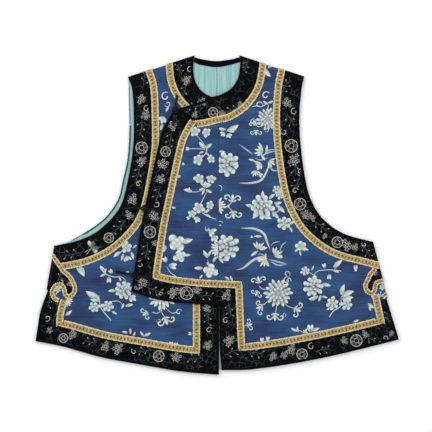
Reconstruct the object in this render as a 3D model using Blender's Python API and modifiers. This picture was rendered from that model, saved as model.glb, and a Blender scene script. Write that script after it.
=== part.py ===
"""A silk waistcoat laid flat: panels, lining, mitred border bands, ribbons, bindings and knot closures."""

import bmesh
import bpy
from math import cos, pi, sin
from mathutils import Vector
from mathutils.geometry import interpolate_bezier, intersect_line_line_2d

NAME = "waistcoat"
MM = 0.001

# Sizes are millimetres. The pattern is flat: x runs across from the centre-front seam, to the wearer's left,
# and y is minus the distance down from the neck points. Every edge runs with the cloth on its left-hand side.
MIDDLE_ACROSS = -2.65
MIDDLE_DOWN = 325.25

SILK = 1.5
LINING = 1.0
SATIN = 1.0
RIBBON = 1.2
CLEAR = 0.3
CORD = 2.4

BINDING_WIDTH = 5.0
RIBBON_WIDTH = 13.3
SCROLL_WIDTH = 8.0
BACK_BINDING_WIDTH = 3.0
SEAM = CLEAR / 2
LINING_SEAM_ACROSS = -4.0

# Heights of the middle of each layer.
BACK_HEIGHT = SILK / 2
LINING_HEIGHT = SILK + CLEAR + LINING / 2
FRONT_BASE = SILK + CLEAR + LINING + CLEAR
FRONT_HEIGHT = FRONT_BASE + SILK / 2
FACING_HEIGHT = FRONT_BASE + SATIN / 2
BAND_HEIGHT = FRONT_BASE + SILK + CLEAR + SATIN / 2
RIBBON_HEIGHT = FRONT_BASE + SILK + CLEAR + RIBBON / 2
SLACK = 0.1
OVERLAP_RISE = SILK + CLEAR + RIBBON + CLEAR + SLACK

# The fronts turn over the shoulders and side seams round this axis height and radius.
TURN_HEIGHT = (BACK_HEIGHT + FRONT_HEIGHT) / 2
TURN_RADIUS = (FRONT_HEIGHT - BACK_HEIGHT) / 2
HALF_TURN = pi * TURN_RADIUS
QUARTER_TURN = HALF_TURN / 2
TURN_SIDES = 4
FOLD_OVERRUN = 0.05

CURVE_STEP = 9.0
CURVE_SLACK = 0.3
SCROLL_STEP = 3.0
SCROLL_SLACK = 0.15
# How far strips run past the ends of their edges, before they are cut.
MITRE_REACH = 75.0
SHOULDER_REACH = 8.0
UNDERARM_REACH = 30.0
CURL_REACH = 12.0

# Edges, as rows of (across, down).
NECK_POINT_LEFT = (43.1, 2.0)
NECK_POINT_RIGHT = (-49.2, 2.0)
NECK_SIDE_LEFT = (44.7, 11.7)
NECK_SIDE_RIGHT = (-51.3, 11.7)
SHOULDER_TIP_LEFT = (174.9, 44.8)
SHOULDER_TIP_RIGHT = (-184.5, 45.5)
UNDERARM_LEFT = (313.0, 379.6)
UNDERARM_RIGHT = (-332.9, 387.9)
SLIT_TOP_LEFT = (344.0, 497.0)
SLIT_TOP_RIGHT = (-348.8, 479.0)
HEM_CORNER_LEFT = (369.2, 580.2)
HEM_CORNER_RIGHT = (-374.5, 583.6)
OVERLAP_TOP = (-92.0, 112.5)
OVERLAP_CORNER = (-178.3, 480.1)
STEP_CORNER = (1.8, 508.8)
CENTRE_HEM_LEFT = (6.2, 642.7)
CENTRE_HEM_RIGHT = (1.0, 652.3)

LEFT_NECK_ROWS = (
    NECK_POINT_LEFT, NECK_SIDE_LEFT, (40.0, 44.5), (25.6, 67.0), (3.1, 80.0),
    (-11.3, 83.8), (-37.9, 94.7), (-62.5, 101.9), (-85.0, 109.0), OVERLAP_TOP,
)
OVERLAP_EDGE_ROWS = (
    OVERLAP_TOP, (-102.5, 129.6), (-115.8, 157.0), (-125.1, 192.0), (-143.1, 274.0),
    (-156.2, 335.6), (-166.0, 397.0), OVERLAP_CORNER,
)
OVERLAP_HEM_ROWS = (OVERLAP_CORNER, (-140.4, 494.5), (-99.4, 502.5), (-37.9, 507.8), STEP_CORNER)
LEFT_CENTRE_ROWS = (STEP_CORNER, (1.9, 575.0), (3.4, 610.0), CENTRE_HEM_LEFT)
LEFT_HEM_ROWS = (CENTRE_HEM_LEFT, (64.6, 641.6), (167.1, 626.8), (269.6, 605.3), HEM_CORNER_LEFT)
LEFT_SLIT_ROWS = (HEM_CORNER_LEFT, SLIT_TOP_LEFT)
LEFT_SIDE_SEAM_ROWS = (SLIT_TOP_LEFT, UNDERARM_LEFT)
LEFT_ARMHOLE_ROWS = (
    UNDERARM_LEFT, (253.2, 362.0), (212.2, 331.5), (189.4, 294.6), (177.9, 253.6),
    (168.1, 182.0), (165.5, 125.0), (169.7, 69.0), SHOULDER_TIP_LEFT,
)
RIGHT_ARMHOLE_ROWS = (
    SHOULDER_TIP_RIGHT, (-176.3, 69.0), (-173.2, 130.0), (-175.3, 192.0), (-189.6, 274.0),
    (-205.0, 315.0), (-244.0, 356.0), (-283.9, 376.6), UNDERARM_RIGHT,
)
BACK_ARMHOLE_ROWS = (
    SHOULDER_TIP_RIGHT, (-183.8, 78.0), (-182.4, 151.0), (-186.6, 212.6), (-195.8, 253.6),
    (-206.6, 295.4), (-238.4, 336.6), (-302.4, 377.4), UNDERARM_RIGHT,
)
RIGHT_SIDE_SEAM_ROWS = (UNDERARM_RIGHT, SLIT_TOP_RIGHT)
RIGHT_SLIT_ROWS = (SLIT_TOP_RIGHT, (-363.9, 520.0), (-369.4, 551.0), HEM_CORNER_RIGHT)
RIGHT_HEM_ROWS = (
    HEM_CORNER_RIGHT, (-324.9, 592.7), (-242.9, 615.7), (-160.9, 631.0), (-78.9, 645.3), CENTRE_HEM_RIGHT,
)
CENTRE_TOP_RIGHT = (1.0, 86.0)
RIGHT_CENTRE_ROWS = (CENTRE_HEM_RIGHT, CENTRE_TOP_RIGHT)
RIGHT_NECK_ROWS = (
    CENTRE_TOP_RIGHT, (-17.4, 82.6), (-37.9, 68.0), (-49.8, 44.5), NECK_SIDE_RIGHT, NECK_POINT_RIGHT,
)
BACK_NECK_ROWS = (NECK_POINT_LEFT, (27.7, 6.1), (-5.1, 10.0), (-37.9, 5.3), NECK_POINT_RIGHT)
FACING_LOWER_ROWS = ((-51.0, 12.3), (-37.9, 17.8), (-3.1, 22.6), (27.7, 17.2), (44.3, 12.3))
BACK_HEM_ROWS = (
    HEM_CORNER_RIGHT, (-272.0, 605.0), (-167.0, 624.0), (-64.6, 638.5), (-2.0, 640.5),
    (64.6, 638.5), (167.1, 623.0), (269.6, 601.0), HEM_CORNER_LEFT,
)

# The middle of each narrow ribbon bent to a cloud scroll, from the top down.
RIGHT_SCROLL_ROWS = (
    (-340.5, 406.3), (-334.6, 415.4), (-328.8, 423.4), (-322.5, 431.9), (-318.4, 439.3), (-311.4, 444.6),
    (-304.0, 452.0), (-297.9, 462.7), (-293.8, 473.3), (-294.4, 481.1), (-298.7, 488.5), (-305.9, 492.2),
    (-312.2, 489.3), (-314.9, 481.1), (-316.3, 474.2), (-320.8, 468.8), (-327.4, 467.6), (-334.0, 470.7),
    (-338.9, 477.4), (-340.1, 485.2), (-337.4, 493.0), (-332.3, 498.2), (-326.2, 500.2),
)
SCROLL_STUB_ROWS = 4
LEFT_UPPER_SCROLL_ROWS = (
    (319.3, 435.0), (318.2, 438.6), (313.2, 443.2), (308.9, 449.4), (306.3, 456.5), (302.4, 463.1),
    (300.3, 470.3), (302.0, 477.7), (306.9, 483.6), (313.9, 485.0), (319.2, 480.3), (320.0, 472.9),
    (321.9, 466.4), (326.6, 462.1), (332.7, 460.6), (343.3, 460.6),
)
LEFT_LOWER_SCROLL_ROWS = ((349.5, 483.2), (343.4, 486.9), (338.9, 490.6), (335.2, 494.3))

# How far down the narrow side ribbons and the bands beside them start.
LEFT_SIDE_RIBBON_DOWN = 491.0
LEFT_SIDE_BAND_DOWN = 498.0
RIGHT_SIDE_RIBBON_DOWN = 497.3
RIGHT_SIDE_BAND_DOWN = 505.0

# Where the right front's borders end under the overlap, and where the back's armhole binding starts and ends.
TUCKED_CENTRE_DOWN = 496.0
TUCKED_NECK_ACROSS = -8.0
BACK_BINDING_DOWN = (68.0, 375.5)

# Band widths at even shares along each edge.
LEFT_NECK_BAND = (40.5, 38.5, 38.7, 42.3, 38.0, 32.5, 30.0)
OVERLAP_EDGE_BAND = (38.0, 39.0)
OVERLAP_HEM_BAND = (41.5, 37.8, 35.5)
LEFT_CENTRE_BAND = (34.5, 40.0)
LEFT_HEM_BAND = (39.5, 41.0, 40.0)
LEFT_SIDE_BAND = (21.0, 14.0)
LEFT_ARMHOLE_BAND = (36.5, 41.0)
RIGHT_ARMHOLE_BAND = (37.5, 36.8, 38.2, 38.0, 40.2, 38.8, 37.5)
RIGHT_SIDE_BAND = (30.5, 40.5)
RIGHT_HEM_BAND = (39.0, 40.0)
RIGHT_CENTRE_BAND = (39.0, 39.0)
RIGHT_NECK_BAND = (35.0, 43.5)

# The left front rises over the right front: the share of the full rise at each station across and down.
RISE_ACROSS = ((3.0, 1.0), (12.0, 0.85), (21.5, 0.5), (31.0, 0.15), (40.0, 0.0))
RISE_DOWN = ((520.0, 1.0), (540.0, 0.85), (560.0, 0.5), (580.0, 0.15), (600.0, 0.0))

# Closures: the knot, the far end of its loop, the far end of its stem, and the height its loop lies at.
ON_RIBBON = BAND_HEIGHT + SATIN / 2 + CLEAR + 2 * SLACK
ON_SILK = FRONT_HEIGHT + SILK / 2 + CLEAR
OVERLAP_TOP_HEIGHT = ON_RIBBON + OVERLAP_RISE
CLOSURES = (
    # name, knot, loop end, stem end, loop lies on
    ("top", (-88.0, 111.0), (-85.0, 80.0), (-93.0, 143.0), ON_RIBBON),
    ("middle", (-150.5, 312.0), (-170.0, 311.0), (-118.0, 316.0), ON_RIBBON),
    ("bottom", (-171.5, 448.0), (-210.0, 441.0), (-138.0, 455.0), ON_SILK),
)
KNOT_RADIUS = 4.5
KNOT_FLATNESS = 0.8
KNOT_SEGMENTS = 12
KNOT_RINGS = 8
LOOP_RADIUS = KNOT_RADIUS + CLEAR + CORD / 2
STEM_START = LOOP_RADIUS + 1.5 * CORD + CLEAR
CORD_SPREAD = 1.35
RING_POINTS = 9
LOOP_DROP = (9.0, 17.0)

# Finish: colour, roughness, metallic.
BLUE_SILK = ("blue_silk", (0.024, 0.068, 0.209), 0.45, 0.0)
LINING_SILK = ("lining_silk", (0.352, 0.604, 0.578), 0.4, 0.0)
BLACK_SATIN = ("black_satin", (0.006, 0.006, 0.008), 0.35, 0.0)
GOLD_RIBBON = ("gold_ribbon", (0.552, 0.381, 0.138), 0.5, 0.1)


def smooth(rows, step=CURVE_STEP, slack=CURVE_SLACK):
    """Flat points along a smooth line through the rows."""
    knots = [Vector((across, -down)) for across, down in rows]
    reaches = [(end - start).length for start, end in zip(knots, knots[1:])]
    slopes = [(knots[1] - knots[0]).normalized()]
    for before, after, reach, next_reach in zip(knots, knots[2:], reaches, reaches[1:]):
        slopes.append((after - before) / (reach + next_reach))
    slopes.append((knots[-1] - knots[-2]).normalized())
    points = []
    for index, reach in enumerate(reaches):
        start, end = knots[index], knots[index + 1]
        handles = start + slopes[index] * reach / 3, end - slopes[index + 1] * reach / 3
        count = max(2, round(reach / step) + 1)
        points += [point.to_2d() for point in interpolate_bezier(start, *handles, end, count)][:-1]
    return thin(points + [knots[-1]], slack)


def thin(points, slack):
    """The points that keep a line's shape to within the slack."""
    along = (points[-1] - points[0]).normalized()
    aside = [abs(along.cross(point - points[0])) for point in points]
    far = max(range(len(points)), key=aside.__getitem__)
    if aside[far] <= slack:
        return [points[0], points[-1]]
    return thin(points[:far + 1], slack)[:-1] + thin(points[far:], slack)


def left_of(direction):
    """The unit vector to the left of a direction."""
    return Vector((-direction.y, direction.x)).normalized()


def share_at(rows, place):
    """The share read between the rows of a table of stations."""
    if place <= rows[0][0]:
        return rows[0][1]
    for (start, share), (end, next_share) in zip(rows, rows[1:]):
        if place <= end:
            return share + (next_share - share) * (place - start) / (end - start)
    return rows[-1][1]


def widths_along(points, widths):
    """A width for each point, read between widths that stand at even shares of the line."""
    marks = [0.0]
    for before, after in zip(points, points[1:]):
        marks.append(marks[-1] + (after - before).length)
    stations = [(marks[-1] * number / max(1, len(widths) - 1), width) for number, width in enumerate(widths)]
    return [share_at(stations, mark) for mark in marks]


def offset(points, *widths):
    """The line moved to its left by one width, or by widths that stand at even shares of it."""
    moved = []
    for index, (point, width) in enumerate(zip(points, widths_along(points, widths))):
        before = points[index] - points[index - 1] if index else points[1] - points[0]
        after = points[index + 1] - points[index] if index + 1 < len(points) else before
        side, next_side = left_of(before), left_of(after)
        moved.append(point + (side + next_side) * width / (1 + side.dot(next_side)))
    return moved


def inset(outline, width):
    """A closed outline moved in to its left."""
    return offset(outline[-1:] + outline + outline[:1], width)[1:-1]


def shortened(line, amount):
    """A straight line with a length taken off its end."""
    return [line[0], line[-1] + (line[0] - line[-1]).normalized() * amount]


def extended(points, start, end):
    """The line with straight reaches added before its start and after its end."""
    longer = list(points)
    if start:
        longer.insert(0, points[0] - (points[1] - points[0]).normalized() * start)
    if end:
        longer.append(points[-1] + (points[-1] - points[-2]).normalized() * end)
    return longer


def joined(*lines):
    """Lines joined end to end, with each shared end once."""
    points = []
    for line in lines:
        points += [point for point in line if not points or (point - points[-1]).length > 0.01]
    if (points[0] - points[-1]).length <= 0.01:
        points.pop()
    return points


def nearest(line, point):
    """The place on a straight line that is nearest to a point."""
    along = (line[-1] - line[0]).normalized()
    return line[0] + along * along.dot(point - line[0])


def corner(edge, width, next_edge, next_width):
    """The point where two edges would meet if each were moved to its left by its width."""
    side = left_of(edge[-1] - edge[-2])
    next_side = left_of(next_edge[1] - next_edge[0])
    turn = side.cross(next_side)
    across = Vector((width * next_side.y - next_width * side.y, next_width * side.x - width * next_side.x))
    return edge[-1] + across / turn


def trim(start, end, clear=SEAM):
    """A cut that keeps what lies to the left of the line from start to end, less a clearance."""
    side = left_of(end - start)
    return (start + side * clear, side)


def mitre(edge, widths, next_edge, next_widths):
    """The cuts that end one strip and start the next at their common corner."""
    outer = corner(edge, widths[0], next_edge, next_widths[0])
    inner = corner(edge, widths[1], next_edge, next_widths[1])
    return trim(outer, inner), trim(inner, outer)


def lower_part(line, down):
    """The part of a line that lies below a level, with the points where it crosses the level."""
    points = []
    for start, end in zip(line, line[1:] + line[-1:]):
        if -start.y > down:
            points.append(start)
        if (-start.y > down) != (-end.y > down):
            points.append(start.lerp(end, (-down - start.y) / (end.y - start.y)))
    return points


def upright(across):
    """A straight line down the pattern."""
    return Vector((across, 0.0)), Vector((across, -MIDDLE_DOWN))


def level(down):
    """A straight line across the pattern, to the wearer's right."""
    return Vector((MIDDLE_DOWN, -down)), Vector((-MIDDLE_DOWN, -down))


def before_crossing(line, other):
    """The line up to where it first meets the other, with the point where they meet."""
    for index, (start, end) in enumerate(zip(line, line[1:])):
        for other_start, other_end in zip(other, other[1:]):
            met = intersect_line_line_2d(start, end, other_start, other_end)
            if met:
                return line[:index + 1] + [met]
    return line


def material(name, colour, roughness, metallic):
    """The Principled material of one kind of cloth."""
    made = bpy.data.materials.get(name)
    if made is None:
        made = bpy.data.materials.new(name)
        made.use_nodes = True
        shader = made.node_tree.nodes["Principled BSDF"]
        shader.inputs["Base Color"].default_value = (*colour, 1.0)
        shader.inputs["Roughness"].default_value = roughness
        shader.inputs["Metallic"].default_value = metallic
    return made


def keep(made, finish):
    """Put an object in the waistcoat's collection, under its frame, with its material."""
    bpy.data.collections[NAME].objects.link(made)
    made.parent = bpy.data.objects[NAME + "_frame"]
    made.data.materials.clear()
    made.data.materials.append(material(*finish))
    return made


def rise_at(point):
    """How far the left front is raised by the right front under it."""
    return OVERLAP_RISE * share_at(RISE_ACROSS, point.x) * share_at(RISE_DOWN, -point.y)


def placed(point, height, raised):
    """A pattern point set in space: raised over the right front, or turned over a fold, in metres."""
    for start, end in FOLDS:
        along = (end - start).normalized()
        beyond = -left_of(end - start).dot(point - start)
        reach = along.dot(point - start) / (end - start).length
        if beyond > 0.001 and -FOLD_OVERRUN < reach < 1 + FOLD_OVERRUN:
            angle = beyond / TURN_RADIUS
            foot = point + left_of(end - start) * beyond
            out = foot - left_of(end - start) * (height - TURN_HEIGHT) * sin(angle)
            return in_metres(out, TURN_HEIGHT + (height - TURN_HEIGHT) * cos(angle))
    return in_metres(point, height + (rise_at(point) if raised else 0.0))


def in_metres(point, height):
    """A pattern point and height as a place in the waistcoat's own frame."""
    return Vector((point.x - MIDDLE_ACROSS, point.y + MIDDLE_DOWN, height)) * MM


def cut(shape, point, side, clear):
    """Cut flat cloth along a line, and drop what lies to the right of it if asked."""
    bmesh.ops.bisect_plane(
        shape,
        geom=shape.verts[:] + shape.edges[:] + shape.faces[:],
        dist=0.0005,
        plane_co=(point.x, point.y, 0.0),
        plane_no=(side.x, side.y, 0.0),
        clear_inner=clear,
    )


def cloth(name, outline, height, thickness, finish, trims=(), raised=False, folded=False):
    """Cloth cut to a flat outline, trimmed, laid at a height and thickened."""
    curve = bpy.data.curves.new(name, "CURVE")
    curve.dimensions = "2D"
    curve.fill_mode = "BOTH"
    spline = curve.splines.new("POLY")
    spline.points.add(len(outline) - 1)
    for corner_point, place in zip(spline.points, outline):
        corner_point.co = (place.x, place.y, 0.0, 1.0)
    spline.use_cyclic_u = True
    pattern = bpy.data.objects.new(name + "_pattern", curve)
    bpy.context.scene.collection.objects.link(pattern)
    flat = bpy.data.meshes.new_from_object(pattern.evaluated_get(bpy.context.evaluated_depsgraph_get()))
    bpy.data.objects.remove(pattern)
    flat.name = name
    shape = bmesh.new()
    shape.from_mesh(flat)
    bmesh.ops.dissolve_faces(shape, faces=shape.faces[:])
    for point, side in trims:
        cut(shape, point, side, True)
    if folded:
        for start, end in FOLDS:
            for number in range(TURN_SIDES):
                out = left_of(end - start) * (HALF_TURN * number / TURN_SIDES)
                cut(shape, start - out, left_of(end - start), False)
    if raised:
        for across, _ in RISE_ACROSS:
            cut(shape, Vector((across, 0.0)), Vector((1.0, 0.0)), False)
        for down, _ in RISE_DOWN:
            cut(shape, Vector((0.0, -down)), Vector((0.0, 1.0)), False)
    for vertex in shape.verts:
        vertex.co = placed(vertex.co.to_2d(), height, raised)
    shape.normal_update()
    bmesh.ops.dissolve_limit(
        shape, angle_limit=0.0005, verts=shape.verts[:], edges=shape.edges[:], delimit=set()
    )
    shape.to_mesh(flat)
    shape.free()
    made = keep(bpy.data.objects.new(name, flat), finish)
    wall = made.modifiers.new("wall", "SOLIDIFY")
    wall.thickness = thickness * MM
    wall.offset = 0.0
    wall.use_even_offset = True
    return made


def strip(name, edge, near, far, height, thickness, finish, trims, reach=(MITRE_REACH, MITRE_REACH), **laid):
    """A strip of cloth along an edge, between two distances from it, each given at even shares along it."""
    outer = extended(offset(edge, *near), *reach)
    inner = extended(offset(edge, *far), *reach)
    cloth(name, outer + inner[::-1], height, thickness, finish, trims, **laid)


for leftover in list(bpy.data.objects):
    bpy.data.objects.remove(leftover)
bpy.context.scene.collection.children.link(bpy.data.collections.new(NAME))
bpy.data.collections[NAME].objects.link(bpy.data.objects.new(NAME + "_frame", None))

left_neck = smooth(LEFT_NECK_ROWS)
overlap_edge = smooth(OVERLAP_EDGE_ROWS)
overlap_hem = smooth(OVERLAP_HEM_ROWS)
left_centre = smooth(LEFT_CENTRE_ROWS)
left_hem = smooth(LEFT_HEM_ROWS)
left_slit = smooth(LEFT_SLIT_ROWS)
left_seam = smooth(LEFT_SIDE_SEAM_ROWS)
left_armhole = smooth(LEFT_ARMHOLE_ROWS)
right_armhole = smooth(RIGHT_ARMHOLE_ROWS)
back_armhole = smooth(BACK_ARMHOLE_ROWS)
right_seam = smooth(RIGHT_SIDE_SEAM_ROWS)
right_slit = smooth(RIGHT_SLIT_ROWS)
right_hem = smooth(RIGHT_HEM_ROWS)
right_centre = smooth(RIGHT_CENTRE_ROWS)
right_neck = smooth(RIGHT_NECK_ROWS)
left_shoulder = smooth((SHOULDER_TIP_LEFT, NECK_POINT_LEFT))
right_shoulder = smooth((NECK_POINT_RIGHT, SHOULDER_TIP_RIGHT))
FOLDS = (left_shoulder, right_shoulder, left_seam, right_seam)


def turned_over(line):
    """The line moved out past the fold, by the length of cloth in half a turn."""
    return offset(line, -HALF_TURN)


def fold_end(fold):
    """The cut that ends a strip where its cloth starts to turn under at a fold."""
    return trim(*offset(fold, -QUARTER_TURN), clear=0.0)


def panels():
    """The back, its lining and neck facing, and the fronts, each the true shape of its cloth."""
    back = inset(joined(
        smooth(BACK_NECK_ROWS), right_shoulder, back_armhole, right_seam, right_slit,
        smooth(BACK_HEM_ROWS), left_slit, left_seam, left_armhole, left_shoulder,
    ), CLEAR)
    centre = upright(0.0)
    cloth("back_right_panel", back, BACK_HEIGHT, SILK, BLUE_SILK, [trim(*centre[::-1])])
    cloth("back_left_panel", back, BACK_HEIGHT, SILK, BLUE_SILK, [trim(*centre)])
    seam = upright(LINING_SEAM_ACROSS)
    cloth("back_lining_right", back, LINING_HEIGHT, LINING, LINING_SILK, [trim(*seam[::-1])])
    cloth("back_lining_left", back, LINING_HEIGHT, LINING, LINING_SILK, [trim(*seam)])
    neck_gap = CLEAR + SEAM
    facing = smooth(FACING_LOWER_ROWS) + offset(smooth(BACK_NECK_ROWS), CLEAR)
    facing_trims = [
        trim(*smooth((NECK_SIDE_LEFT, NECK_POINT_LEFT)), neck_gap),
        trim(*smooth((NECK_POINT_RIGHT, NECK_SIDE_RIGHT)), neck_gap),
    ]
    cloth("back_neck_facing", facing, FACING_HEIGHT, SATIN, BLACK_SATIN, facing_trims)
    right_front = joined(
        right_armhole, right_seam[:1], turned_over(right_seam), right_slit, right_hem, right_centre,
        right_neck, turned_over(right_shoulder), right_armhole[:1],
    )
    cloth("front_right_panel", right_front, FRONT_HEIGHT, SILK, BLUE_SILK, folded=True)
    left_front = joined(
        left_neck, overlap_edge, overlap_hem, left_centre, left_hem, left_slit,
        turned_over(left_seam), left_armhole, turned_over(left_shoulder), left_neck[:1],
    )
    laid = {"raised": True, "folded": True}
    cloth("front_overlap_panel", left_front, FRONT_HEIGHT, SILK, BLUE_SILK, [trim(*centre[::-1])], **laid)
    cloth("front_left_panel", left_front, FRONT_HEIGHT, SILK, BLUE_SILK, [trim(*centre)], **laid)


def band_span(width):
    """The distances of a band's two sides from the edge."""
    return BINDING_WIDTH + CLEAR, width


def ribbon_span(width):
    """The distances of a ribbon's two sides from the edge."""
    return width + CLEAR, width + CLEAR + RIBBON_WIDTH


def band(name, edge, widths, trims, **laid):
    """A black band along an edge, with its widths at even shares along it."""
    near, far = zip(*map(band_span, widths))
    strip(name, edge, near, far, BAND_HEIGHT, SATIN, BLACK_SATIN, trims, **laid)


def ribbon(name, edge, widths, trims, **laid):
    """A gold ribbon inside a band of those widths."""
    near, far = zip(*map(ribbon_span, widths))
    strip(name, edge, near, far, RIBBON_HEIGHT, RIBBON, GOLD_RIBBON, trims, **laid)


def border(name, edge, widths, starts, ends, reach=(MITRE_REACH, MITRE_REACH), raised=False):
    """A black band along an edge and the gold ribbon inside it, with the cuts at each end of both."""
    laid = {"reach": reach, "raised": raised, "folded": True}
    band(name + "_band", edge, widths, [starts[0], ends[0]], **laid)
    ribbon(name + "_ribbon", edge, widths, [starts[1], ends[1]], **laid)


def corner_cuts(edge, width, next_edge, next_width):
    """The mitres of the bands and of the ribbons at a corner: those that end, and those that start."""
    bands = mitre(edge, band_span(width), next_edge, band_span(next_width))
    ribbons = mitre(edge, ribbon_span(width), next_edge, ribbon_span(next_width))
    return (bands[0], ribbons[0]), (bands[1], ribbons[1])


def left_borders():
    """The bands and ribbons of the left front and its overlap."""
    top = fold_end(left_shoulder)
    underarm = fold_end(left_seam)
    flap_ends, flap_starts = corner_cuts(left_neck, LEFT_NECK_BAND[-1], overlap_edge, OVERLAP_EDGE_BAND[0])
    low_ends, low_starts = corner_cuts(overlap_edge, OVERLAP_EDGE_BAND[-1], overlap_hem, OVERLAP_HEM_BAND[0])
    step_ends, step_starts = corner_cuts(overlap_hem, OVERLAP_HEM_BAND[-1], left_centre, LEFT_CENTRE_BAND[0])
    centre_ends, centre_starts = corner_cuts(left_centre, LEFT_CENTRE_BAND[-1], left_hem, LEFT_HEM_BAND[0])
    side_ends, side_starts = corner_cuts(left_hem, LEFT_HEM_BAND[-1], left_slit, LEFT_SIDE_BAND[0])
    border(
        "left_neck", left_neck, LEFT_NECK_BAND, (top, top), flap_ends, (SHOULDER_REACH, MITRE_REACH),
        raised=True,
    )
    border("left_overlap_edge", overlap_edge, OVERLAP_EDGE_BAND, flap_starts, low_ends, raised=True)
    border("left_overlap_hem", overlap_hem, OVERLAP_HEM_BAND, low_starts, step_ends, raised=True)
    border("left_centre", left_centre, LEFT_CENTRE_BAND, step_starts, centre_ends, raised=True)
    border("left_hem", left_hem, LEFT_HEM_BAND, centre_starts, side_ends, raised=True)
    border(
        "left_armhole", left_armhole, LEFT_ARMHOLE_BAND, (underarm, underarm), (top, top),
        (UNDERARM_REACH, SHOULDER_REACH),
    )
    upper = smooth(LEFT_UPPER_SCROLL_ROWS, SCROLL_STEP, SCROLL_SLACK)
    lower = smooth(LEFT_LOWER_SCROLL_ROWS, SCROLL_STEP, SCROLL_SLACK)
    scroll("left_scroll_upper", upper, [underarm])
    scroll("left_scroll_lower", lower, [underarm])
    seam_outside = offset(left_seam, -QUARTER_TURN)
    upper_side = offset(upper, SCROLL_WIDTH / 2 + CLEAR)
    below_ribbon = ribbon_span(LEFT_ARMHOLE_BAND[0])[1] + CLEAR
    ribbon_edge = extended(offset(left_armhole, below_ribbon)[:2], MITRE_REACH, 0.0)[1::-1]
    ribbon_edge[0] = nearest(ribbon_edge, upper_side[0])
    top_band = before_crossing(ribbon_edge, seam_outside) + before_crossing(upper_side, seam_outside)[::-1]
    cloth("left_side_top_band", top_band, BAND_HEIGHT, SATIN, BLACK_SATIN, folded=True)
    slit_inside = lower_part(offset(left_slit, *LEFT_SIDE_BAND), LEFT_SIDE_BAND_DOWN)
    slit_outside = extended(offset(left_slit, BINDING_WIDTH + CLEAR), MITRE_REACH, MITRE_REACH)
    lower_side = before_crossing(offset(lower, SCROLL_WIDTH / 2 + CLEAR)[::-1], slit_outside)
    low_band = extended(slit_inside, MITRE_REACH, 0.0) + lower_side + slit_outside[:1]
    cloth("left_side_band", low_band, BAND_HEIGHT, SATIN, BLACK_SATIN, [side_starts[0]], folded=True)
    below_scroll = trim(*level(LEFT_SIDE_RIBBON_DOWN), 0.0)
    ribbon("left_side_ribbon", left_slit, LEFT_SIDE_BAND, [side_starts[1], below_scroll])


def right_borders():
    """The bands and ribbons of the right front, which lies under the overlap."""
    top = fold_end(right_shoulder)
    side_ends, side_starts = corner_cuts(right_slit, RIGHT_SIDE_BAND[-1], right_hem, RIGHT_HEM_BAND[0])
    centre_ends, centre_starts = corner_cuts(
        right_hem, RIGHT_HEM_BAND[-1], right_centre, RIGHT_CENTRE_BAND[0]
    )
    tucked = trim(*level(TUCKED_CENTRE_DOWN), 0.0)
    under = trim(*upright(TUCKED_NECK_ACROSS)[::-1], 0.0)
    stub = smooth(RIGHT_SCROLL_ROWS[:SCROLL_STUB_ROWS], SCROLL_STEP, SCROLL_SLACK)
    above_stub = offset(stub, SCROLL_WIDTH / 2 + CLEAR)
    stub_cut = trim(above_stub[0], above_stub[-1], 0.0)
    underarm = fold_end(right_seam)
    border("right_neck", right_neck, RIGHT_NECK_BAND, (under, under), (top, top), (0.0, SHOULDER_REACH))
    border("right_hem", right_hem, RIGHT_HEM_BAND, side_starts, centre_ends)
    border(
        "right_centre", right_centre, RIGHT_CENTRE_BAND, centre_starts, (tucked, tucked), (MITRE_REACH, 0.0)
    )
    laid = {"reach": (SHOULDER_REACH, UNDERARM_REACH), "folded": True}
    band("right_armhole_band", right_armhole, RIGHT_ARMHOLE_BAND, [top, underarm, stub_cut], **laid)
    ribbon("right_armhole_ribbon", right_armhole, RIGHT_ARMHOLE_BAND, [top, stub_cut], **laid)
    curl = smooth(RIGHT_SCROLL_ROWS, SCROLL_STEP, SCROLL_SLACK)
    scroll("right_scroll", curl, [underarm])
    curl_side = offset(curl, -SCROLL_WIDTH / 2 - CLEAR)
    slit_inside = lower_part(offset(right_slit, *RIGHT_SIDE_BAND), RIGHT_SIDE_BAND_DOWN)
    seam_outside = offset(right_seam, -QUARTER_TURN)
    slit_outside = offset(right_slit, BINDING_WIDTH + CLEAR)
    inner_line = extended(curl_side, CURL_REACH, 0.0) + extended(slit_inside, 0.0, MITRE_REACH)
    outside_curl = before_crossing(inner_line, extended(seam_outside, UNDERARM_REACH, 0.0))
    seam_outside[0] = outside_curl[-1]
    inner_line = inner_line[len(outside_curl) - 1:]
    seam_inside = shortened(offset(right_seam, BINDING_WIDTH + CLEAR), SEAM + CLEAR)[1:]
    seam_edge = shortened(seam_outside, SEAM + CLEAR) + seam_inside
    side_band = seam_edge + extended(slit_outside, 0.0, MITRE_REACH) + inner_line[::-1]
    cloth("right_side_band", side_band, BAND_HEIGHT, SATIN, BLACK_SATIN, [side_ends[0]], folded=True)
    below_scroll = trim(*level(RIGHT_SIDE_RIBBON_DOWN), 0.0)
    ribbon("right_side_ribbon", right_slit, RIGHT_SIDE_BAND, [side_ends[1], below_scroll])


def scroll(name, middle, trims):
    """A narrow ribbon bent along a scroll's middle line."""
    half = SCROLL_WIDTH / 2
    outline = offset(middle, -half) + offset(middle, half)[::-1]
    cloth(name, outline, RIBBON_HEIGHT, RIBBON, GOLD_RIBBON, trims, folded=True)


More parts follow.
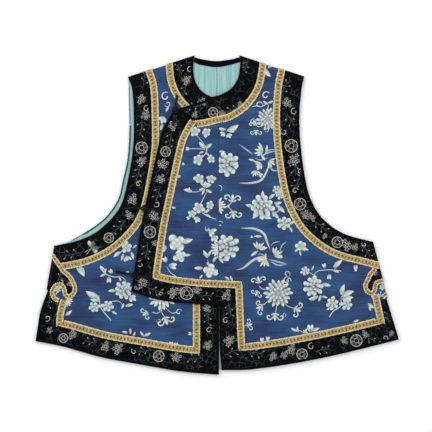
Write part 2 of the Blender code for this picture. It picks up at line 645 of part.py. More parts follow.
def bindings():
    """The plain black binding along the outer edges."""
    left_line = joined(left_neck, overlap_edge, overlap_hem, left_centre, left_hem, left_slit)
    right_line = joined(right_slit, right_hem, lower_part(right_centre, TUCKED_CENTRE_DOWN))
    left_top, right_top = fold_end(left_shoulder), fold_end(right_shoulder)
    left_under, right_under = fold_end(left_seam), fold_end(right_seam)
    ends = SHOULDER_REACH, SHOULDER_REACH
    runs = (
        ("left_edge_binding", left_line, [left_top], (SHOULDER_REACH, 0.0), True),
        ("left_armhole_binding", left_armhole, [left_under, left_top], ends, False),
        ("right_edge_binding", right_line, [], (0.0, 0.0), False),
        ("right_armhole_binding", right_armhole, [right_top, right_under], ends, False),
        ("right_neck_binding", right_neck, [right_top], (0.0, SHOULDER_REACH), False),
    )
    for name, line, trims, reach, raised in runs:
        strip(
            name, line, (0.0, 0.0), (BINDING_WIDTH,) * 2, BAND_HEIGHT, SATIN, BLACK_SATIN, trims,
            reach=reach, raised=raised, folded=True,
        )
    highest, lowest = BACK_BINDING_DOWN
    sliver = [point for point in back_armhole if highest < -point.y < lowest]
    strip(
        "back_armhole_binding", sliver, (CLEAR, CLEAR), (CLEAR + BACK_BINDING_WIDTH,) * 2, FACING_HEIGHT,
        SATIN, BLACK_SATIN, [], reach=(0.0, 0.0),
    )


def cord(name, points):
    """A silk cord that follows the points, in millimetres."""
    curve = bpy.data.curves.new(name, "CURVE")
    curve.dimensions = "3D"
    curve.bevel_depth = CORD / 2 * MM
    curve.bevel_resolution = 1
    curve.use_fill_caps = True
    spline = curve.splines.new("POLY")
    spline.points.add(len(points) - 1)
    for control, (place, height) in zip(spline.points, points):
        control.co = (*in_metres(place, height), 1.0)
    keep(bpy.data.objects.new(name, curve), BLACK_SATIN)


def hairpin(head, tail, ring, high, low, drop):
    """A cord doubled back on itself round a head, as flat points each with its height."""
    out = (tail - head).normalized()
    side = left_of(out)
    reach = (tail - head).length
    first = CORD_SPREAD / ring
    heights = ((reach, low), (drop[1], low), (drop[0], high))
    leg = [(head + out * far + side * CORD_SPREAD, height) for far, height in heights]
    turns = [first + (2 * pi - 2 * first) * number / (RING_POINTS - 1) for number in range(RING_POINTS)]
    arc = [(head + (out * cos(turn) + side * sin(turn)) * ring, high) for turn in turns]
    back = [(head + out * far - side * CORD_SPREAD, height) for far, height in heights[::-1]]
    return leg + arc + back


def closures():
    """Three cloth knots on doubled stems, each held in a loop of cord from the right front."""
    high = OVERLAP_TOP_HEIGHT + CORD / 2
    for name, knot_row, loop_row, stem_row, lies_on in CLOSURES:
        knot, loop_end, stem_end = (Vector((row[0], -row[1])) for row in (knot_row, loop_row, stem_row))
        cord(name + "_loop", hairpin(knot, loop_end, LOOP_RADIUS, high, lies_on + CORD / 2, LOOP_DROP))
        stem_start = knot + (stem_end - knot).normalized() * STEM_START
        side = left_of(stem_end - knot) * CORD_SPREAD
        legs = stem_end + side, stem_start + side, stem_start - side, stem_end - side
        cord(name + "_stem", [(place, high) for place in legs])
        bpy.ops.mesh.primitive_uv_sphere_add(
            segments=KNOT_SEGMENTS, ring_count=KNOT_RINGS, radius=KNOT_RADIUS * MM,
            location=in_metres(knot, OVERLAP_TOP_HEIGHT + KNOT_RADIUS * KNOT_FLATNESS),
        )
        made = bpy.context.active_object
        made.name = name + "_knot"
        made.scale.z = KNOT_FLATNESS
        for holder in list(made.users_collection):
            holder.objects.unlink(made)
        made.data.shade_smooth()
        keep(made, BLACK_SATIN)


panels()
left_borders()
right_borders()
bindings()
closures()
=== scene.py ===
from math import cos, exp, pi, radians, sin, tau

import bmesh
import bpy
import numpy as np
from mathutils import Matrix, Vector
from mathutils.bvhtree import BVHTree
from mathutils.geometry import interpolate_bezier


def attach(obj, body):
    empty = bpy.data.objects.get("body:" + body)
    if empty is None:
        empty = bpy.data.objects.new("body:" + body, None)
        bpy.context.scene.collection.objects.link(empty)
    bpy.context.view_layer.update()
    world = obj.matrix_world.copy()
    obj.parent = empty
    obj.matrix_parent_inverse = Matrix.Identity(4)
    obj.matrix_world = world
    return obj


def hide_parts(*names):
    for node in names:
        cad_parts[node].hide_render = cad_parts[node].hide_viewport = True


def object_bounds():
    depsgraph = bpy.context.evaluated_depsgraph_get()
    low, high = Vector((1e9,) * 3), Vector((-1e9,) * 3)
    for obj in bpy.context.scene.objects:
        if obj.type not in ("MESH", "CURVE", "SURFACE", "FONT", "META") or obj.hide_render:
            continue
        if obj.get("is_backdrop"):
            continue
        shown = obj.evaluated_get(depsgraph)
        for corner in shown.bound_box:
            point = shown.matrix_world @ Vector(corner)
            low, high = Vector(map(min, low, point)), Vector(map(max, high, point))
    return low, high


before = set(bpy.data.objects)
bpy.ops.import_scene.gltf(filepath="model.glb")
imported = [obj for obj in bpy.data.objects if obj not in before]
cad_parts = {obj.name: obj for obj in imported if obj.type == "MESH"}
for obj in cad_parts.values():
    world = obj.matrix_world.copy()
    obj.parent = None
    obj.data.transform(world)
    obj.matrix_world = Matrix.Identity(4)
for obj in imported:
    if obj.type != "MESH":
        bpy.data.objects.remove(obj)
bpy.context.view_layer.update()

# Camera, floor and light.
# The waistcoat lies on a pale studio table, seen from straight above by a long lens, in soft even light
# with a little more from the top left. Lengths below are millimetres across from the centre-front seam,
# to the wearer's left, and down from the neck points; the frame's origin is the middle of its box.
MM = 0.001
MIDDLE_ACROSS = -2.65
MIDDLE_DOWN = 325.25
VIEW_ACROSS = -5.1
VIEW_DOWN = 327.4
VIEW_WIDTH = 885.6
LENS = 100.0
SENSOR = 36.0
TABLE_SIZE = 6.0
TABLE_DROP = 0.3
TABLE_WHITE = (0.95, 0.95, 0.95)
ROOM_LIGHT = 0.78


def placed(name, data):
    """A new piece of the scene that holds the given mesh, lamp or camera."""
    made = bpy.data.objects.new(name, data)
    bpy.context.scene.collection.objects.link(made)
    return made


view_centre = Vector((VIEW_ACROSS - MIDDLE_ACROSS, MIDDLE_DOWN - VIEW_DOWN, 0.0)) * MM
camera_data = bpy.data.cameras.new("camera")
camera_data.lens = LENS
camera_data.sensor_width = SENSOR
camera = placed("camera", camera_data)
camera.location = view_centre + Vector((0.0, 0.0, VIEW_WIDTH * MM * LENS / SENSOR))
bpy.context.scene.camera = camera
bpy.context.scene.view_settings.view_transform = "Standard"


def painted(name, colour, roughness, sheen=0.0, specular=0.5, metallic=0.0):
    """A material of one finish, with its node tree and its shader ready for more."""
    made = bpy.data.materials.new(name)
    made.use_nodes = True
    shader = made.node_tree.nodes["Principled BSDF"]
    shader.inputs["Base Color"].default_value = (*colour, 1.0)
    shader.inputs["Roughness"].default_value = roughness
    shader.inputs["Sheen Weight"].default_value = sheen
    shader.inputs["Specular IOR Level"].default_value = specular
    shader.inputs["Metallic"].default_value = metallic
    return made, made.node_tree, shader


bpy.ops.mesh.primitive_plane_add(size=TABLE_SIZE, location=(0.0, 0.0, -TABLE_DROP * MM))
table = bpy.context.active_object
table.name = "studio_table"
table.data.materials.append(painted("table_white", TABLE_WHITE, 0.9, specular=0.0)[0])
table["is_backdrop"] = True

studio = bpy.data.worlds.new("studio")
studio.use_nodes = True
studio.node_tree.nodes["Background"].inputs["Color"].default_value = (1.0, 1.0, 1.0, 1.0)
studio.node_tree.nodes["Background"].inputs["Strength"].default_value = ROOM_LIGHT
bpy.context.scene.world = studio
for name, place, size, power in (
    # lamp, its place and size in metres, power
    ("window_left", (-1.6, 1.4, 1.7), 1.6, 26.0),
    ("window_right", (1.5, 0.6, 2.0), 1.6, 13.0),
):
    lamp_data = bpy.data.lights.new(name, "AREA")
    lamp_data.size = size
    lamp_data.energy = power
    lamp = placed(name, lamp_data)
    lamp.location = place
    lamp.rotation_euler = (-Vector(place)).to_track_quat("-Z", "Y").to_euler()

# Back panels.
# Two halves of blue figured silk, seamed down the middle and lying face down on the table. The cloth is a
# thin shell that keeps the cut of its solid, a little fuller than flat where the layers over it settle.
BLUE = (0.0100, 0.0190, 0.078)
BLUE_MIXED = (0.0140, 0.0750, 0.202)
BLUE_LIGHT = (0.024, 0.088, 0.202)
BLUE_DARK = (0.0095, 0.0190, 0.082)
CLOTH_CELL = 9.0
EDGE_ROUND = 0.32
EDGE_PROFILE = 0.6
ROUNDED_FROM = 60.0
SMOOTH_TO = 50.0
LEVEL_WITHIN = 1.0
MERGE_GAP = 0.002
SETTLE_TOP = 1.5
CREASE_BEND = 6.0
SETTLE_WAVES = (
    # height, wavelength across, wavelength down, turn
    (0.34, 143.0, 260.0, 0.4),
    (0.26, -97.0, 171.0, 2.1),
    (0.20, 61.0, -118.0, 4.4),
    (0.12, 38.0, 47.0, 1.2),
)
CREASES = (
    # middle across and down, half length, turn in degrees from level, height, half width
    (205.0, 150.0, 96.0, 98.0, 0.60, 7.0),
    (118.0, 92.0, 70.0, 64.0, 0.45, 8.0),
    (95.0, 250.0, 120.0, 86.0, 0.55, 9.0),
    (232.0, 420.0, 118.0, 34.0, 0.70, 8.0),
    (170.0, 505.0, 95.0, 12.0, 0.50, 10.0),
    (292.0, 540.0, 62.0, 72.0, 0.45, 7.0),
    (-72.0, 210.0, 92.0, 96.0, 0.50, 8.0),
    (-60.0, 395.0, 84.0, 22.0, 0.55, 9.0),
    (-150.0, 118.0, 74.0, 84.0, 0.50, 7.0),
    (-228.0, 432.0, 96.0, 148.0, 0.70, 8.0),
    (-160.0, 560.0, 88.0, 8.0, 0.50, 10.0),
    (-300.0, 530.0, 60.0, 104.0, 0.45, 7.0),
)


def settle(x, y):
    """How far the cloth stands above its flat place, in metres: low uneven swells and a few soft creases."""
    swell = sum(
        height * (1 + sin(tau * (x / MM / across + y / MM / down) + turn))
        for height, across, down, turn in SETTLE_WAVES
    ) / 2
    for across, down, reach, turn, height, width in CREASES:
        aside, below = x / MM + MIDDLE_ACROSS - across, MIDDLE_DOWN - y / MM - down
        along = aside * cos(radians(turn)) + below * sin(radians(turn))
        if abs(along) < reach:
            away = below * cos(radians(turn)) - aside * sin(radians(turn))
            away += CREASE_BEND * (along / reach) ** 2
            swell += height * (1 - (along / reach) ** 2) ** 2 * exp(-((away / width) ** 2))
    return swell * MM


def settled(place):
    """A place moved up with the cloth, but not where it rests on the table."""
    share = min(1.0, max(0.0, place.z / (SETTLE_TOP * MM)))
    return Vector((place.x, place.y, place.z + settle(place.x, place.y) * share))


def sliced(form, faces, axis, places):
    """Cut faces across an axis at each place, the middle place first and then each side of it."""
    if not places or not faces:
        return
    middle = len(places) // 2
    point, normal = Vector(), Vector()
    point[axis], normal[axis] = places[middle], 1.0
    parts = dict.fromkeys(part for face in faces for part in (face, *face.edges, *face.verts))
    pieces = bmesh.ops.bisect_plane(
        form, geom=list(parts), dist=MERGE_GAP * MM, plane_co=point, plane_no=normal
    )["geom"]
    pieces = [piece for piece in pieces if isinstance(piece, bmesh.types.BMFace)]
    beyond = [piece.calc_center_median()[axis] > places[middle] for piece in pieces]
    sliced(form, [piece for piece, far in zip(pieces, beyond) if not far], axis, places[:middle])
    sliced(form, [piece for piece, far in zip(pieces, beyond) if far], axis, places[middle + 1:])


def shell(name, nodes, material, cell=CLOTH_CELL, edge=EDGE_ROUND):
    """A thin cloth shell on its solids' form: cut to a grid, settled, with rounded edges."""
    made_mesh = bpy.data.meshes.new(name)
    form = bmesh.new()
    for node in nodes:
        form.from_mesh(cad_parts[node].data)
    bmesh.ops.remove_doubles(form, verts=form.verts, dist=MERGE_GAP * MM)
    bmesh.ops.dissolve_limit(
        form, angle_limit=radians(LEVEL_WITHIN), verts=form.verts, edges=form.edges
    )
    low = [min(vertex.co[axis] for vertex in form.verts) for axis in (0, 1)]
    high = [max(vertex.co[axis] for vertex in form.verts) for axis in (0, 1)]
    rounded = [
        side for side in form.edges
        if len(side.link_faces) == 2 and side.calc_face_angle() > radians(ROUNDED_FROM)
    ]
    solid = BVHTree.FromBMesh(form)
    bmesh.ops.bevel(
        form, geom=rounded, offset=edge * MM, segments=2, affect="EDGES", profile=EDGE_PROFILE
    )
    for corner in form.verts:
        surface, _, _, away = solid.find_nearest(corner.co)
        if away > edge * MM:
            corner.co = surface
    for axis in (0, 1):
        count = int((high[axis] - low[axis]) / (cell * MM))
        sliced(form, form.faces[:], axis, [low[axis] + line * cell * MM for line in range(1, count + 1)])
    bmesh.ops.triangulate(form, faces=form.faces)
    for vertex in form.verts:
        vertex.co = settled(vertex.co)
    form.to_mesh(made_mesh)
    form.free()
    made_mesh.shade_smooth()
    made_mesh.set_sharp_from_angle(angle=radians(SMOOTH_TO))
    made = placed(name, made_mesh)
    made_mesh.materials.append(material)
    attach(made, "root")
    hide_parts(*nodes)
    return made


def node_maker(tree):
    """A function that adds a node to a tree, sets its values, and links what feeds it."""
    def add(kind, feeds=(), **values):
        node = tree.nodes.new(kind)
        for name, value in values.items():
            if hasattr(node, name):
                setattr(node, name, value)
            else:
                node.inputs[name.replace("_", " ")].default_value = value
        for socket, source in feeds:
            tree.links.new(source, node.inputs[socket])
        return node
    return add


def two_tone(add, pattern, low, low_tone, high, high_tone):
    """One colour where a pattern is low and another where it is high, blended between."""
    ramp = add("ShaderNodeValToRGB", [("Fac", pattern)])
    for element, place, tone in zip(ramp.color_ramp.elements, (low, high), (low_tone, high_tone)):
        element.position = place
        element.color = (*tone, 1.0)
    return ramp.outputs["Color"]


def raised(tree, shader, height, strength, depth):
    """Let a pattern stand up from the surface, with its depth in millimetres."""
    bump = node_maker(tree)("ShaderNodeBump", [("Height", height)], Strength=strength, Distance=depth * MM)
    tree.links.new(bump.outputs["Normal"], shader.inputs["Normal"])


def blue_silk():
    """Plain-woven blue silk, with weft streaks of lighter and darker blue and a faint slub."""
    made, tree, shader = painted("blue_silk_weave", BLUE, 0.5, sheen=0.06, specular=0.22)
    add = node_maker(tree)
    where = add("ShaderNodeTexCoord").outputs["Object"]
    weft = add("ShaderNodeMapping", [("Vector", where)], Scale=(9.0, 190.0, 1.0)).outputs["Vector"]
    streaks = add("ShaderNodeTexNoise", [("Vector", weft)], Scale=1.6, Detail=4.0, Roughness=0.6)
    patch_place = add("ShaderNodeMapping", [("Vector", where)], Scale=(16.0, 26.0, 1.0)).outputs["Vector"]
    patches = add("ShaderNodeTexNoise", [("Vector", patch_place)], Scale=1.0, Detail=4.0)
    streak_tone = two_tone(add, streaks.outputs["Fac"], 0.38, BLUE_DARK, 0.62, BLUE_LIGHT)
    patch_tone = two_tone(add, patches.outputs["Fac"], 0.37, BLUE, 0.61, BLUE_MIXED)
    mixed = add("ShaderNodeMix", [(6, patch_tone), (7, streak_tone)], data_type="RGBA", Factor=0.34)
    tree.links.new(mixed.outputs[2], shader.inputs["Base Color"])
    weave = add("ShaderNodeMapping", [("Vector", where)], Scale=(900.0, 1400.0, 1.0)).outputs["Vector"]
    threads = add("ShaderNodeTexChecker", [("Vector", weave)], Scale=1.0)
    relief = add("ShaderNodeMix", [(2, threads.outputs["Fac"]), (3, streaks.outputs["Fac"])], Factor=0.7)
    raised(tree, shader, relief.outputs[0], 0.35, 0.3)
    return made


SILK_MATERIAL = blue_silk()
for side, width, area in (("left", 0.370, 0.1495), ("right", 0.376, 0.158)):
    back = shell(f"back_{side}_silk", [f"back_{side}_panel"], SILK_MATERIAL)

# Lining.
# Pale blue-green silk lines the back and shows in the neck opening, along the right armhole and in the
# hem slit. Its two halves are seamed down the middle, and its warp stands as fine upright streaks.
LINING_PALE = (0.33, 0.54, 0.54)
LINING_DEEP = (0.165, 0.370, 0.375)


def lining_silk():
    """Thin pale silk with upright warp streaks."""
    made, tree, shader = painted("lining_silk_weave", LINING_PALE, 0.5, sheen=0.1, specular=0.25)
    add = node_maker(tree)
    where = add("ShaderNodeTexCoord").outputs["Object"]
    warp = add("ShaderNodeMapping", [("Vector", where)], Scale=(420.0, 9.0, 1.0)).outputs["Vector"]
    streaks = add("ShaderNodeTexNoise", [("Vector", warp)], Scale=1.0, Detail=3.0)
    tone = two_tone(add, streaks.outputs["Fac"], 0.28, LINING_DEEP, 0.60, LINING_PALE)
    tree.links.new(tone, shader.inputs["Base Color"])
    raised(tree, shader, streaks.outputs["Fac"], 0.3, 0.4)
    return made


LINING_MATERIAL = lining_silk()
for side, width, area in (("left", 0.374, 0.151), ("right", 0.379, 0.155)):
    lining = shell(f"lining_{side}_silk", [f"back_lining_{side}"], LINING_MATERIAL)

# Neck facing and back armhole edge.
# A curved facing of plain black satin is sewn over the lining's top edge at the back of the neck. A thin
# binding is turned over the back's edge at the right armhole; it is painted dark green, painted shadow of the
# lining's folded edge.
SATIN_BLACK = (0.0020, 0.0020, 0.0026)
# Dark green painted shadow of the lining's folded edge at the right armhole.
FOLD_SHADOW_GREEN = (0.034, 0.066, 0.060)


def black_satin():
    """Plain black satin for the facing and bindings, with a fine twill grain."""
    made, tree, shader = painted("black_satin_plain", SATIN_BLACK, 0.45, specular=0.03)
    add = node_maker(tree)
    where = add("ShaderNodeTexCoord").outputs["Object"]
    grain = add("ShaderNodeTexNoise", [("Vector", where)], Scale=900.0, Detail=2.0)
    raised(tree, shader, grain.outputs["Fac"], 0.3, 0.2)
    return made


SATIN_MATERIAL = black_satin()
shell("neck_facing_satin", ["back_neck_facing"], SATIN_MATERIAL, cell=6.0)
# The right armhole's back binding is painted dark green, painted shadow of the lining's folded edge.
FOLD_SHADOW_MATERIAL = painted("painted_fold_shadow", FOLD_SHADOW_GREEN, 0.45, specular=0.1)[0]
shell("back_armhole_binding_satin", ["back_armhole_binding"], FOLD_SHADOW_MATERIAL, cell=6.0)

# Fronts.
# The right front of blue silk lies on the lining. The left front crosses over it with a curved overlap, cut
# apart and joined on by the centre-front seam. Both turn over the shoulders to meet the back.
FRONTS = (
    # piece, node, flat width, flat length, area
    ("front_right_silk", "front_right_panel", 0.377, 0.660, 0.156),
    ("front_left_silk", "front_left_panel", 0.371, 0.652, 0.147),
    ("front_overlap_silk", "front_overlap_panel", 0.179, 0.430, 0.059),
)
for name, node, width, length, area in FRONTS:
    front = shell(name, [node], SILK_MATERIAL)

# Border bands.
# Black satin strips are sewn flat round every edge of the fronts and mitred at the corners. They are worked
# all over with a cracked-ice net in dull blue-green thread.
ICE_THREAD = (0.042, 0.070, 0.078)
ICE_CELL = 12.0
ICE_WIDTH = 0.30
BLACK, WHITE = (0.0, 0.0, 0.0), (1.0, 1.0, 1.0)
BANDS = (
    "left_neck_band", "left_overlap_edge_band", "left_overlap_hem_band", "left_centre_band", "left_hem_band",
    "left_side_band", "left_side_top_band", "left_armhole_band", "right_neck_band", "right_armhole_band",
    "right_side_band", "right_hem_band", "right_centre_band",
)


def ice_satin():
    """Black satin with a net of straight cracked-ice lines couched in thread."""
    made, tree, shader = painted("black_satin_ice", SATIN_BLACK, 0.45, specular=0.03)
    add = node_maker(tree)
    where = add("ShaderNodeTexCoord").outputs["Object"]
    scale = 1 / (ICE_CELL * MM)
    cells = add("ShaderNodeTexVoronoi", [("Vector", where)], feature="DISTANCE_TO_EDGE", Scale=scale)
    line = add("ShaderNodeMath", [(0, cells.outputs["Distance"])], operation="LESS_THAN")
    line.inputs[1].default_value = ICE_WIDTH / ICE_CELL
    worn = add("ShaderNodeTexNoise", [("Vector", where)], Scale=70.0, Detail=2.0)
    left = two_tone(add, worn.outputs["Fac"], 0.42, BLACK, 0.56, WHITE)
    drawn = add("ShaderNodeMath", [(0, line.outputs[0]), (1, left)], operation="MULTIPLY")
    colour = add("ShaderNodeMix", [(0, drawn.outputs[0])], data_type="RGBA")
    colour.inputs[6].default_value = (*SATIN_BLACK, 1.0)
    colour.inputs[7].default_value = (*ICE_THREAD, 1.0)
    tree.links.new(colour.outputs[2], shader.inputs["Base Color"])
    raised(tree, shader, drawn.outputs[0], 0.5, 0.3)
    return made


ICE_MATERIAL = ice_satin()
for node in BANDS:
    shell(node + "_satin", [node], ICE_MATERIAL, cell=8.0)

# Gold ribbons.
# A woven gold ribbon, 13 mm wide, is sewn on inside every band and mitred at the corners. It is a little
# domed, with a row of small brown lozenges and a picot edge. A narrow one is bent to a cloud scroll at the
# top of each side slit.
RIBBON_HALF = 6.65
SCROLL_HALF = 4.0
RIBBON_CELL = 2.8
RIBBON_DOME = 0.3
RIBBON_OVERRUN = 40.0
RIBBON_GAP = 0.3
RIBBON_LINES = (
    # ribbon, band widths at even shares of the edge, edge the band follows as (across, down)
    ("left_neck_ribbon", (40.5, 38.5, 38.7, 42.3, 38.0, 32.5, 30.0), (
        (43.1, 2.0), (44.7, 11.7), (40.0, 44.5), (25.6, 67.0), (3.1, 80.0), (-11.3, 83.8), (-37.9, 94.7),
        (-62.5, 101.9), (-85.0, 109.0), (-92.0, 112.5),
    )),
    ("left_overlap_edge_ribbon", (38.0, 39.0), (
        (-92.0, 112.5), (-102.5, 129.6), (-115.8, 157.0), (-125.1, 192.0), (-143.1, 274.0),
        (-156.2, 335.6), (-166.0, 397.0), (-178.3, 480.1),
    )),
    ("left_overlap_hem_ribbon", (41.5, 37.8, 35.5), (
        (-178.3, 480.1), (-140.4, 494.5), (-99.4, 502.5), (-37.9, 507.8), (1.8, 508.8),
    )),
    ("left_centre_ribbon", (34.5, 40.0), ((1.8, 508.8), (1.9, 575.0), (3.4, 610.0), (6.2, 642.7))),
    ("left_hem_ribbon", (39.5, 41.0, 40.0), (
        (6.2, 642.7), (64.6, 641.6), (167.1, 626.8), (269.6, 605.3), (369.2, 580.2),
    )),
    ("left_side_ribbon", (21.0, 14.0), ((369.2, 580.2), (344.0, 497.0))),
    ("left_armhole_ribbon", (36.5, 41.0), (
        (313.0, 379.6), (253.2, 362.0), (212.2, 331.5), (189.4, 294.6), (177.9, 253.6), (168.1, 182.0),
        (165.5, 125.0), (169.7, 69.0), (174.9, 44.8),
    )),
    ("right_armhole_ribbon", (37.5, 36.8, 38.2, 38.0, 40.2, 38.8, 37.5), (
        (-184.5, 45.5), (-176.3, 69.0), (-173.2, 130.0), (-175.3, 192.0), (-189.6, 274.0),
        (-205.0, 315.0), (-244.0, 356.0), (-283.9, 376.6), (-332.9, 387.9),
    )),
    ("right_side_ribbon", (30.5, 40.5), (
        (-348.8, 479.0), (-363.9, 520.0), (-369.4, 551.0), (-374.5, 583.6),
    )),
    ("right_hem_ribbon", (39.0, 40.0), (
        (-374.5, 583.6), (-324.9, 592.7), (-242.9, 615.7), (-160.9, 631.0), (-78.9, 645.3), (1.0, 652.3),
    )),
    ("right_centre_ribbon", (39.0, 39.0), ((1.0, 652.3), (1.0, 86.0))),
    ("right_neck_ribbon", (35.0, 43.5), (
        (1.0, 86.0), (-17.4, 82.6), (-37.9, 68.0), (-49.8, 44.5), (-51.3, 11.7), (-49.2, 2.0),
    )),
)
SCROLL_LINES = (
    # scroll, its middle line as (across, down)
    ("right_scroll", (
        (-340.5, 406.3), (-334.6, 415.4), (-328.8, 423.4), (-322.5, 431.9), (-318.4, 439.3), (-311.4, 444.6),
        (-304.0, 452.0), (-297.9, 462.7), (-293.8, 473.3), (-294.4, 481.1), (-298.7, 488.5), (-305.9, 492.2),
        (-312.2, 489.3), (-314.9, 481.1), (-316.3, 474.2), (-320.8, 468.8), (-327.4, 467.6), (-334.0, 470.7),
        (-338.9, 477.4), (-340.1, 485.2), (-337.4, 493.0), (-332.3, 498.2), (-326.2, 500.2),
    )),
    ("left_scroll_upper", (
        (319.3, 435.0), (318.2, 438.6), (313.2, 443.2), (308.9, 449.4), (306.3, 456.5), (302.4, 463.1),
        (300.3, 470.3), (302.0, 477.7), (306.9, 483.6), (313.9, 485.0), (319.2, 480.3), (320.0, 472.9),
        (321.9, 466.4), (326.6, 462.1), (332.7, 460.6), (343.3, 460.6),
    )),
    ("left_scroll_lower", ((349.5, 483.2), (343.4, 486.9), (338.9, 490.6), (335.2, 494.3))),
)
GOLD = (0.415, 0.305, 0.110)
GOLD_PALE = (0.58, 0.49, 0.27)
GOLD_BROWN = (0.110, 0.062, 0.014)
GOLD_COPPER = (0.430, 0.235, 0.082)
PICOT_PALE = (0.70, 0.62, 0.40)
LOZENGE_LENGTH = 7.2
RIB_STEP = 1.25
DOT_ACROSS = 0.52
LINE_STEP = 6.0
SCROLL_STEP = 2.5
PICOT_STEP = 3.3
PICOT_SIZE = 1.6
PICOT_UNEVEN = 0.16
PICOT_INSET = 0.5
PICOT_ROOT = 1.6
PICOT_CORNERS = 7
PICOT_TOP = 0.42
PICOT_RINGS = (
    # share of the size, height on the ribbon
    (1.0, -0.75),
    (0.72, 0.2),
)


def smooth_line(points, step):
    """Places along a smooth line through the points, about a step apart."""
    knots = [Vector(point) for point in points]
    reaches = [(end - start).length for start, end in zip(knots, knots[1:])]
    slopes = [(knots[1] - knots[0]).normalized()]
    for before, after, reach, next_reach in zip(knots, knots[2:], reaches, reaches[1:]):
        slopes.append((after - before) / (reach + next_reach))
    slopes.append((knots[-1] - knots[-2]).normalized())
    line = []
    for index, reach in enumerate(reaches):
        start, end = knots[index], knots[index + 1]
        handles = start + slopes[index] * reach / 3, end - slopes[index + 1] * reach / 3
        count = max(3, round(reach / step) + 1)
        line += [point.to_2d() for point in interpolate_bezier(start, *handles, end, count)][:-1]
    return line + [knots[-1]]


def body_place(place, height):
    """A flat place in millimetres and a height in metres, as a place on the body."""
    return (place.x - MIDDLE_ACROSS) * MM, (MIDDLE_DOWN - place.y) * MM, height


def beside(line, widths):
    """A line moved to the cloth's side by widths at even shares along it, and run on at both ends."""
    moved = []
    shares = np.linspace(0.0, 1.0, len(widths))
    for index, place in enumerate(line):
        ahead = line[min(index + 1, len(line) - 1)] - line[max(index - 1, 0)]
        inward = Vector((ahead.y, -ahead.x)).normalized()
        width = float(np.interp(index / (len(line) - 1), shares, widths))
        moved.append(place + inward * (width + RIBBON_GAP + RIBBON_HALF))
    for first, last in ((0, 1), (-1, -2)):
        out = (moved[first] - moved[last]).normalized() * RIBBON_OVERRUN
        moved.insert(0 if first == 0 else len(moved), moved[first] + out)
    return moved


def follow(places, line):
    """How far along a line each place is, and how far to its right, in millimetres."""
    starts = np.array([tuple(point) for point in line[:-1]])
    spans = np.array([tuple(point) for point in line[1:]]) - starts
    lengths = np.linalg.norm(spans, axis=1)
    marks = np.concatenate(([0.0], np.cumsum(lengths)[:-1]))
    away = places[:, None, :] - starts
    share = np.clip((away * spans).sum(2) / lengths ** 2, 0.0, 1.0)
    aside = away - share[..., None] * spans
    every = np.arange(len(places))
    near = np.linalg.norm(aside, axis=2).argmin(1)
    cross = spans[near, 0] * aside[every, near, 1] - spans[near, 1] * aside[every, near, 0]
    return marks[near] + share[every, near] * lengths[near], cross / lengths[near]


def heights_of(*pieces):
    """A lookup of the height of the laid pieces' top at a flat place, or None beside them."""
    corners, faces = [], []
    for piece in pieces:
        faces += [[len(corners) + corner for corner in face.vertices] for face in piece.data.polygons]
        corners += [vertex.co for vertex in piece.data.vertices]
    form = BVHTree.FromPolygons(corners, faces)

    def height(place):
        top = Vector((place.x - MIDDLE_ACROSS, MIDDLE_DOWN - place.y, 60.0)) * MM
        hit = form.ray_cast(top, Vector((0.0, 0.0, -1.0)))[0]
        return None if hit is None else hit.z
    return height


def gold_weave(name, ground):
    """Gold ribbon: brown lozenges down the middle, pale ribbed edges, metal thread that catches the light."""
    made, tree, shader = painted(name, ground, 0.5, sheen=0.1, specular=0.45, metallic=0.15)
    add = node_maker(tree)

    def calc(operation, first, second=0.0):
        node = add("ShaderNodeMath", operation=operation)
        for socket, source in zip(node.inputs, (first, second)):
            if isinstance(source, float):
                socket.default_value = source
            else:
                tree.links.new(source, socket)
        return node.outputs[0]

    def band(value, low, high):
        soft = add(
            "ShaderNodeMapRange", [("Value", value)],
            interpolation_type="SMOOTHSTEP", From_Min=low, From_Max=high,
        )
        return soft.outputs["Result"]

    thread = add("ShaderNodeUVMap", uv_map="thread").outputs["UV"]
    place = add("ShaderNodeSeparateXYZ", [("Vector", thread)])
    along, across = place.outputs["X"], calc("ABSOLUTE", place.outputs["Y"])
    repeat = calc("ABSOLUTE", calc("SUBTRACT", calc("FRACT", calc("DIVIDE", along, LOZENGE_LENGTH)), 0.5))
    lozenge = band(calc("ADD", calc("MULTIPLY", repeat, 1.9), across), 0.80, 0.52)
    aside = calc("ABSOLUTE", calc("SUBTRACT", across, DOT_ACROSS))
    dots = calc("ADD", calc("MULTIPLY", calc("SUBTRACT", 0.5, repeat), 3.0), aside)
    dots = calc("MULTIPLY", band(dots, 0.42, 0.18), 0.7)
    where = add("ShaderNodeTexCoord").outputs["Object"]
    worn = add("ShaderNodeTexNoise", [("Vector", where)], Scale=420.0, Detail=2.0).outputs["Fac"]
    brown = calc("MULTIPLY", calc("MAXIMUM", lozenge, dots), band(worn, 0.25, 0.52))
    rib = calc("ABSOLUTE", calc("SUBTRACT", calc("FRACT", calc("DIVIDE", along, RIB_STEP)), 0.5))
    edge = calc("MULTIPLY", band(across, 0.66, 0.86), calc("ADD", 0.45, rib))
    tone = add("ShaderNodeMix", [(0, brown)], data_type="RGBA")
    tone.inputs[6].default_value = (*ground, 1.0)
    tone.inputs[7].default_value = (*GOLD_BROWN, 1.0)
    pale = add("ShaderNodeMix", [(0, edge), (6, tone.outputs[2])], data_type="RGBA")
    pale.inputs[7].default_value = (*GOLD_PALE, 1.0)
    patchy = add("ShaderNodeTexNoise", [("Vector", where)], Scale=120.0, Detail=2.0).outputs["Fac"]
    grain = add("ShaderNodeTexNoise", [("Vector", where)], Scale=430.0, Detail=2.0).outputs["Fac"]
    shade = calc("MULTIPLY", band(patchy, 0.36, 0.64), 0.40)
    shade = calc("ADD", shade, calc("MULTIPLY", band(grain, 0.36, 0.64), 0.62))
    shade = calc("ADD", shade, 0.52)
    tinted = add("ShaderNodeVectorMath", [(0, pale.outputs[2]), (1, shade)], operation="MULTIPLY")
    tree.links.new(tinted.outputs[0], shader.inputs["Base Color"])
    relief = calc("ADD", calc("MULTIPLY", rib, 0.8), calc("MULTIPLY", lozenge, 0.7))
    raised(tree, shader, relief, 0.5, 0.4)
    return made


